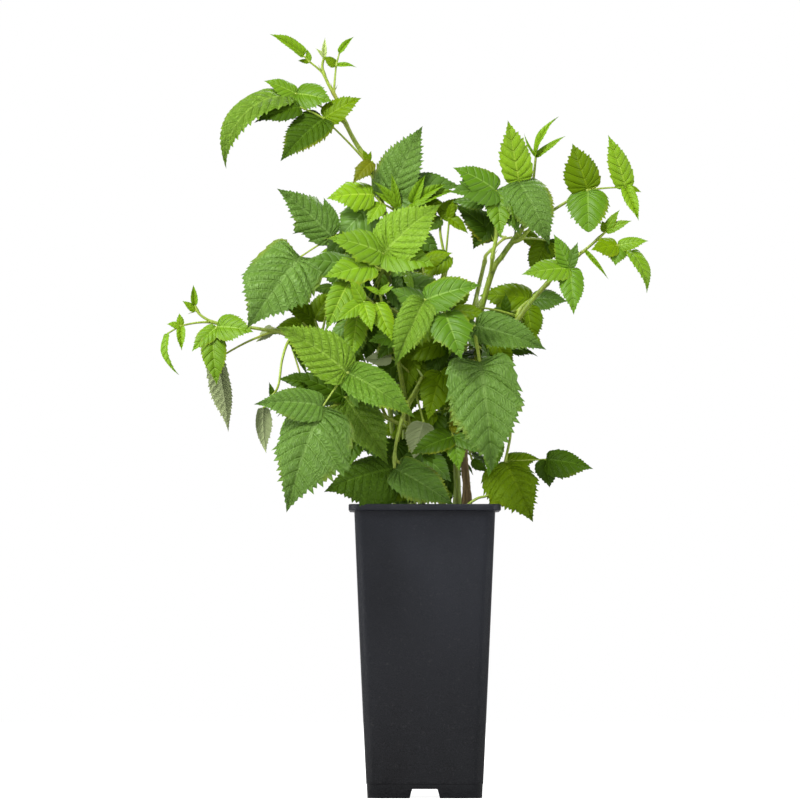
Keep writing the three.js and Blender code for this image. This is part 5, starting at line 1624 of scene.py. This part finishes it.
def make_stems(shoots):
    dice = np.random.default_rng(5)
    stems, stalks, threads = Pile(), Pile(), Pile()
    for shoot in shoots:
        stems.add(*stem_tube(shoot, dice))
        for leaf in shoot["leaves"]:
            for i, (start, end, radius) in enumerate(leaf["stalks"]):
                stalks.add(*stalk_tube(start, end, radius, dice.uniform(*STALK_BOW)))
                if i == 0:
                    for thread in stipules(start, end, dice):
                        threads.add(*tube_shape(thread, STIPULE_RADII, 4))
    for twig in TWIGS:
        middles = curve_points(np.array(twig, float), 24)
        stems.add(*tube_shape(middles, np.linspace(*TWIG_RADII, len(middles)), STEM_SIDES))
    names = [shoot["name"] for shoot in shoots]
    skin = stalk_skin()
    keep(stems.piece("shoot_stems"), [skin], names, smooth=50)
    keep(stalks.piece("leaf_stalks"), [skin], names, smooth=50)
    keep(threads.piece("stipules"), [skin], names, smooth=50)


def make_prickles(limbs):
    dice = np.random.default_rng(8)
    prickles = Pile()
    for limb in limbs.values():
        middles = curve_points(limb["path"], 60)
        length = np.linalg.norm(np.diff(middles, axis=0), axis=1).sum()
        for share in dice.uniform(0.03, 0.98, int(length / PRICKLE_GAP)):
            way = curve_way(limb["path"], share)
            out = unit(np.cross(way, dice.normal(size=3)))
            bark = limb["radii"][0] + (limb["radii"][1] - limb["radii"][0]) * share
            foot = curve_point(limb["path"], share) + out * (bark - 0.3)
            tip = foot + (out - way * PRICKLE_HOOK) * PRICKLE_LENGTH * dice.uniform(0.7, 1.3)
            prickles.add(*tube_shape([foot, foot * 0.45 + tip * 0.55, tip], PRICKLE_RADII, 4))
    keep(prickles.piece("prickles"), [stalk_skin()], list(limbs), smooth=50)


make_stems(shoots)
make_prickles(limbs)

# %% [markdown]
# ## Leaflets: finish
#
# A raspberry leaflet looks pleated: its side veins lie in grooves, the skin is wrinkled from vein to vein,
# and the midrib is pale. The shade in the grooves is painted shade, a darker colour along the side veins,
# and the wrinkles get a paler colour, a painted sheen, besides their relief. A short young leaflet is
# smoother than a grown one. The underside is a grey felt with raised veins. A picture of a leaf would fix
# all this to one leaf, so the mesh holds a few numbers at its points instead: how far out from the midrib a
# point is, at which vein, the length of its leaflet and a tint. One shared group turns them into masks.
# Leaves of one age share a finish, from the pale buds and the yellow-green tips to the deep greens, which
# are painted shade, and the olive greens, which are partly a yellowish leaf colour and partly painted
# shade, with one tone for withered scraps and one for leaves that show their felt side.

# %% Skin of a leaflet
WRINKLE_SHARE = 0.28  # half the width of a usual leaflet over its length
WRINKLE_SLOPE = 2.5  # how far the wrinkles between two veins point outwards
WRINKLES_PER_VEIN = 2.2
VEINED_FROM = (14, 46)  # lengths in millimetres at which the veins' grooves start and are full
WRINKLED_FROM = (36, 68)


def make_leaf_skin():
    """Masks of a leaflet's skin: side veins, midrib, wrinkles and margin."""
    group = bpy.data.node_groups.new("leaf_skin", "ShaderNodeTree")
    for name in ("Vein", "Line", "Rib", "Wrinkle", "Margin"):
        add_socket(group, name, "OUTPUT", "Float")
    bench = Bench(group)
    out, row, long, tint = [bench.attribute(name) for name in ("out", "row", "long", "tint")]
    from_middle = bench.sum_of("ABSOLUTE", bench.sum_of("SUBTRACT", bench.sum_of("FRACT", row), 0.5))
    sized = bench.sum_of("MULTIPLY_ADD", bench.ramp(long, *VEINED_FROM), 0.6, 0.4)
    fading = bench.part(bench.sum_of("SUBTRACT", 1, bench.part(out, 0.45)), sized)
    across = bench.part(bench.part(out, long), WRINKLE_SHARE)
    place = bench.add("ShaderNodeCombineXYZ", {
        "X": bench.sum_of("MULTIPLY_ADD", from_middle, WRINKLE_SLOPE, across),
        "Y": bench.part(row, WRINKLES_PER_VEIN),
        "Z": bench.part(tint, 50),
    })
    noise = bench.add("ShaderNodeTexNoise", {
        "Vector": place.outputs["Vector"], "Scale": 1, "Detail": 2, "Distortion": 0.3,
    })
    wrinkled = bench.ramp(noise.outputs["Fac"], 0.34, 0.66)
    bench.add("NodeGroupOutput", {
        "Vein": bench.part(bench.ramp(from_middle, 0.33, 0.46), fading),
        "Line": bench.part(bench.ramp(from_middle, 0.44, 0.49), fading),
        "Rib": bench.ramp(out, 0.075, 0.02),
        "Wrinkle": bench.part(wrinkled, bench.ramp(long, *WRINKLED_FROM)),
        "Margin": bench.ramp(out, 0.8, 1),
    })
    return group


LEAF_SKIN = make_leaf_skin()

# %% Leaf finishes
# The bright tone is a lit green, painted light; the deep tone is painted shade; the olive tone is partly a
# yellowish leaf colour and partly painted shade.
LEAF_TONES = {  # dark tone, light tone, midrib, underside, gloss
    "bud": ("8ea254", "aec074", "ccd6a0", "bcc4a0", 0.15),
    "young": ("54760a", "72960e", "9cb83c", "94a460", 0.14),
    "bright": ("4c6e08", "668a10", "8aa842", "8c9a68", 0.16),
    "mid": ("426606", "567c10", "7c9c40", "828c66", 0.17),
    "mature": ("3e5e0e", "507222", "729246", "7e8668", 0.2),
    "olive": ("466000", "5e7a00", "728c14", "787c54", 0.08),
    "deep": ("2a4202", "3c5804", "52701c", "70725e", 0.08),
    "withered": ("4c5404", "666e08", "747c24", "6c6644", 0.1),
    "turned": ("7c885c", "8c986c", "98a078", "7a8256", 0.1),
}
MARGIN_FLUSH = "828410"
FELT_HAIRS = "b4b8a4"


def leaf_upper(age, dark, light, rib, gloss):
    finish = Finish("leaf_" + age + "_upper", 0.46, gloss)
    skin = finish.add("ShaderNodeGroup", node_tree=LEAF_SKIN).outputs
    flushed = finish.part(skin["Margin"], finish.patches(30, low=0.5, high=0.7))
    tone = finish.mix(finish.attribute("tint"), dark, light)
    tone = finish.tinge(tone, finish.patches(90, detail=4), 0.35, dark)
    # Painted sheen: the wrinkles are made paler with the midrib's tone, besides their relief.
    tone = finish.tinge(tone, skin["Wrinkle"], 0.34, rib)
    tone = finish.tinge(tone, flushed, 0.5, MARGIN_FLUSH)
    # Painted shade: the grooves of the side veins are darkened with the dark tone.
    tone = finish.tinge(tone, skin["Vein"], 0.62, dark)
    tone = finish.tinge(tone, finish.sum_of("MAXIMUM", skin["Line"], skin["Rib"]), 0.5, rib)
    finish.raise_by(finish.sum_of("SUBTRACT", 1, skin["Vein"]), mm(0.6), 0.9)
    finish.raise_by(skin["Wrinkle"], mm(0.6), 1)
    return finish.done(tone)


def leaf_under(age, felt_card, rib):
    finish = Finish("leaf_" + age + "_under", 0.75, 0.15)
    skin = finish.add("ShaderNodeGroup", node_tree=LEAF_SKIN).outputs
    felt = finish.patches(1300, detail=3)
    ribs = finish.sum_of("MAXIMUM", skin["Vein"], skin["Rib"])
    tone = finish.mix(finish.part(felt, 0.25), felt_card, FELT_HAIRS)
    tone = finish.tinge(tone, skin["Wrinkle"], 0.2, rib)
    tone = finish.tinge(tone, ribs, 0.55, rib)
    finish.raise_by(ribs, mm(0.4), 0.5)
    finish.raise_by(felt, mm(0.15), 0.4)
    return finish.done(tone)


# %% [markdown]
# ## Leaflets: shape
#
# A leaflet could be a flat card with a picture of a leaf, but its teeth, its pleats and its arched halves
# are what the eye reads, so it is a mesh. Its rows run from the midrib to the margin along the side veins,
# slanting forwards. Between two veins the skin puffs up, and at the margin each vein ends in a tooth with
# smaller teeth after it. The faces are the same for every leaflet of one fineness, so only the points are
# worked out for each. The upper and under sides share their margin, which closes the leaflet.

# %% Leaflet faces
SIDES = (-1, 1)


class Fineness:
    """How finely a leaflet is made: its side veins, the teeth after each, and its columns to the margin."""

    def __init__(self, veins, teeth, columns):
        self.veins = veins
        self.teeth = np.array(teeth)
        self.columns = np.array(columns)
        self.rows = veins * len(teeth)
        self.kept, self.faces, self.slots, self.corners = self.make_faces()

    def number(self, under, side, row, column):
        """The one number of a corner, which margins, midribs and both ends share."""
        wide = len(self.columns) - 1
        if row in (0, self.rows):
            under, side, column = 0, 0, 0
        elif column == wide:
            under = 0
        elif column == 0:
            side = 0
        return ((under * 2 + side) * (self.rows + 1) + row) * (wide + 1) + column

    def make_faces(self):
        wide = len(self.columns) - 1
        faces, slots, corners = [], [], []
        for under in (0, 1):
            for side, hand in enumerate(SIDES):
                for row in range(self.rows):
                    for column in range(wide):
                        square = [(row, column), (row, column + 1),
                                  (row + 1, column + 1), (row + 1, column)]
                        numbers = [self.number(under, side, *corner) for corner in square]
                        for three in ((0, 1, 2), (0, 2, 3)):
                            if len({numbers[i] for i in three}) < 3:
                                continue
                            if (side == 0) != (under == 1):
                                three = three[::-1]
                            faces.append([numbers[i] for i in three])
                            slots.append(under)
                            corners.append([self.map_place(hand, *square[i]) for i in three])
        kept, numbers = np.unique(np.array(faces), return_inverse=True)
        return kept, numbers.reshape(-1, 3), np.array(slots), np.array(corners)

    def map_place(self, hand, row, column):
        """Where a corner lies on a flat map of the leaflet, from 0 to 1 across and along."""
        across = 0 if row in (0, self.rows) else self.columns[column]
        return 0.5 + hand * across / 2, row / self.rows


FINENESSES = [  # the shortest length each is used from, in millimetres
    (50, Fineness(13, [1, -0.6, 0.35, -0.3], [0, 0.1, 0.28, 0.5, 0.72, 0.88, 1])),
    (24, Fineness(9, [1, -0.6, 0.35, -0.2], [0, 0.14, 0.42, 0.75, 1])),
    (0, Fineness(6, [1, -0.5, 0.3, -0.2], [0, 0.2, 0.6, 1])),
]
print("faces of a leaflet", [len(fineness.faces) for _, fineness in FINENESSES])

# %% Leaflet points
VEIN_SLANT = 0.84
BASE_FAN = 0.2  # the lowest veins all leave the midrib within this share of its length
TOOTH = 0.1
TOOTH_SPREAD = (0.6, 1.35)  # least and most that a tooth differs from the usual one
PUFF = 0.018
BLADE = 0.24  # thickness in millimetres
RIB_BELOW = 0.4
VEIN_BELOW = 0.14
LOBE_PLACES = (0.44, 0.52)
LOBE_REACH = 0.055
HEART = 0.1  # share of the length that the foot of a large leaflet reaches back beside its stalk
HEART_END = 0.3
FULL_SIZE = 40  # a shorter leaflet is thinner, and its foot reaches back less
FOLD_SPREAD = (-2, 10)
CURL = (0.2, 0.5)  # how far the margins turn down
WAVE = (0.01, 0.03)  # how far the margins wave up and down, as shares of the length
WAVES = 1.3  # from stalk to tip
TWIST = 0.25
BOW = 0.06  # how far the tip strays to a side, as a share of the length


def outline(share, blunt=False):
    """Half the width at a share of the length, over the widest half.

    It is broad and round below, with a drawn tip.
    """
    share = np.clip(share, 0, 1)
    narrow = 1 - (0.1 if blunt else 0.55) * np.clip((share - 0.6) / 0.4, 0, None) ** 1.5
    return np.sin(math.pi * share ** 0.62) ** (0.62 if blunt else 0.95) * narrow


def even_on_margin(parts, ratio, blunt):
    """The shares of the length at which parts of the margin's run end, for a half width over the length."""
    shares = np.linspace(0, 1, 120)
    run = np.cumsum(np.hypot(np.diff(shares), np.diff(ratio * outline(shares, blunt))))
    return np.interp(parts, np.append(0, run / run[-1]), shares)


def leaflet_points(leaflet, fineness, dice):
    """Points of one leaflet, in the order that its fineness keeps, with the numbers held at them."""
    length, half = leaflet["length"], leaflet["width"] / 2 * leaflet.get("wide", 1)
    blunt, lobe = leaflet.get("blunt", False), leaflet.get("lobe", 0)
    normal, across = face_ways(leaflet)
    rows = np.arange(fineness.rows + 1)
    per_vein = len(fineness.teeth)
    at_edge = even_on_margin(rows / fineness.rows, half / length, blunt)
    from_edge = at_edge - VEIN_SLANT * half / length * outline(at_edge, blunt)
    along_rib = np.maximum(from_edge, BASE_FAN * rows / fineness.rows)
    between_veins = np.sin(math.pi * (rows % per_vein) / per_vein) ** 0.7
    tooth = fineness.teeth[rows % per_vein] * TOOTH * half * np.minimum(1, 2.5 * outline(at_edge))
    tooth = tooth * dice.uniform(*TOOTH_SPREAD, len(rows))
    tooth[[0, -1]] = 0
    columns = fineness.columns
    at_margin = (columns == 1).astype(float)
    curl = dice.uniform(*CURL)
    phase = dice.uniform(0, 2 * math.pi, 2)
    wave = dice.uniform(*WAVE) * length
    twist = dice.uniform(-TWIST, TWIST)
    bow = dice.uniform(-BOW, BOW) * length
    bend = math.radians(leaflet["arch"])
    reach = length / bend
    small = min(1, length / FULL_SIZE)
    planes = np.zeros((2, 2, len(rows), len(columns), 3))
    for side, hand in enumerate(SIDES):
        fold = math.radians(leaflet.get("fold", LEAF_FOLD) + dice.uniform(*FOLD_SPREAD))
        width = half * outline(at_edge, blunt)
        width *= 1 + lobe * np.exp(-((at_edge - LOBE_PLACES[side]) / LOBE_REACH) ** 2)
        width *= leaflet.get("sides", (1, 1))[side]
        heart = leaflet.get("heart", HEART) * small * np.sin(math.pi * np.minimum(1, at_edge / HEART_END))
        share = along_rib[:, None] + (at_edge - heart - along_rib)[:, None] * columns ** 1.2
        share = np.clip(share + np.outer(tooth, at_margin) * 0.7 / length, -0.3, 1)
        out = np.outer(width, columns) + np.outer(tooth, at_margin) * 0.8
        puff = PUFF * length * np.outer(between_veins * np.minimum(1, 3 * outline(at_edge)),
                                        np.minimum(1, 3 * columns) * (1 - 0.6 * columns ** 3))
        height = math.sin(fold) * out - curl * out ** 2 / half + puff
        height += wave * columns ** 2 * np.sin(2 * math.pi * WAVES * share + phase[side]) * outline(share)
        out = out * math.cos(fold)
        lean = bend * (share - 0.5)
        angle = twist * (share - 0.3)
        aside = hand * out * np.cos(angle) - height * np.sin(angle) + bow * share ** 2
        lift = hand * out * np.sin(angle) + height * np.cos(angle)
        forward = (np.sin(lean) + math.sin(bend / 2)) * reach + lift * np.sin(lean)
        upward = (np.cos(lean) - math.cos(bend / 2)) * reach + lift * np.cos(lean)
        upper = (leaflet["root"] + forward[..., None] * leaflet["along"] + upward[..., None] * normal
                 + aside[..., None] * across)
        on_vein = (rows % per_vein == 0)[:, None]
        thick = BLADE + RIB_BELOW * (columns == 0) * (1.1 - share) + VEIN_BELOW * on_vein
        down = normal * np.cos(lean)[..., None] + leaflet["along"] * np.sin(lean)[..., None]
        planes[0, side] = upper
        planes[1, side] = upper - down * (thick * small)[..., None]
    shape = planes.shape[:-1]
    at_vein = np.broadcast_to((rows / per_vein)[:, None], shape).reshape(-1)[fineness.kept]
    from_rib = np.broadcast_to(columns, shape).reshape(-1)[fineness.kept]
    return planes.reshape(-1, 3)[fineness.kept], {"row": at_vein, "out": from_rib}


# %% [markdown]
# ## Leaflets: ages
#
# The tips of the shoots are young and yellow-green, and the lowest and innermost leaves are the oldest. The
# tones also paint light and shade: the bright tone is painted light for the well-lit middle of the plant,
# the deep tone and in part the olive tone are painted shade for leaves inside the crown, and a shaded leaf
# may get a lighter tone than its age to paint light on it. So each mass of leaves has an age, which a
# leaflet in the plan may change, and the shortest leaflets of a mass count as one step younger. One piece
# for each mass would be as easy, but all leaflets of one age are one piece, because they share a finish.
# Each piece has a flat map with a square for each side of each leaflet, on which its colours can be
# painted.

# %% Leaves
YOUNGER = {"bright": "young", "mid": "bright", "mature": "mid"}
SHORT_LEAFLET = 24


def add_bake_map(piece, pile, corners):
    """A map named OFBake, with one square of a grid for each side of each leaflet."""
    grid = math.ceil(math.sqrt(2 * pile.shapes))
    cells = np.concatenate([2 * i + slots for i, slots in enumerate(pile.slots)])
    starts = np.stack([cells % grid, cells // grid], axis=1)[:, None]
    places = (starts + 0.03 + 0.94 * np.concatenate(corners)) / grid
    layer = piece.data.uv_layers.new(name="OFBake")
    layer.data.foreach_set("uv", places.astype(np.float32).ravel())


def age_of(leaflet, usual):
    """The age that the plan gives a leaflet, or the usual one, made younger if the leaflet is short."""
    short = leaflet["length"] < SHORT_LEAFLET
    return leaflet.get("age") or (YOUNGER.get(usual, usual) if short else usual)


def make_leaves(shoots):
    dice = np.random.default_rng(21)
    piles, nodes, maps = {}, {}, {}
    for shoot in shoots:
        for leaf in shoot["leaves"]:
            leaf_tint = dice.uniform(0.1, 0.9)
            for leaflet in leaf["leaflets"]:
                age = age_of(leaflet, shoot["age"])
                fineness = next(fine for least, fine in FINENESSES if leaflet["length"] >= least)
                points, numbers = leaflet_points(leaflet, fineness, dice)
                tint = np.clip(leaf_tint + dice.uniform(-0.2, 0.2), 0, 1)
                numbers["tint"] = np.full(len(points), tint)
                numbers["long"] = np.full(len(points), leaflet["length"])
                piles.setdefault(age, Pile()).add(points, fineness.faces, fineness.slots, **numbers)
                maps.setdefault(age, []).append(fineness.corners)
                nodes.setdefault(age, set()).add(shoot["name"])
    for age, pile in piles.items():
        dark, light, rib, under, gloss = LEAF_TONES[age]
        piece = pile.piece("leaflets_" + age)
        add_bake_map(piece, pile, maps[age])
        finishes = [leaf_upper(age, dark, light, rib, gloss), leaf_under(age, under, rib)]
        keep(piece, finishes, sorted(nodes[age]), smooth=60)


make_leaves(shoots)

# %% Measure and finish
seen_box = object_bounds()
[[list(corner) for corner in box] for box in (frame_box, seen_box)]
print("finished box", [[round(value, 4) for value in corner] for corner in seen_box])
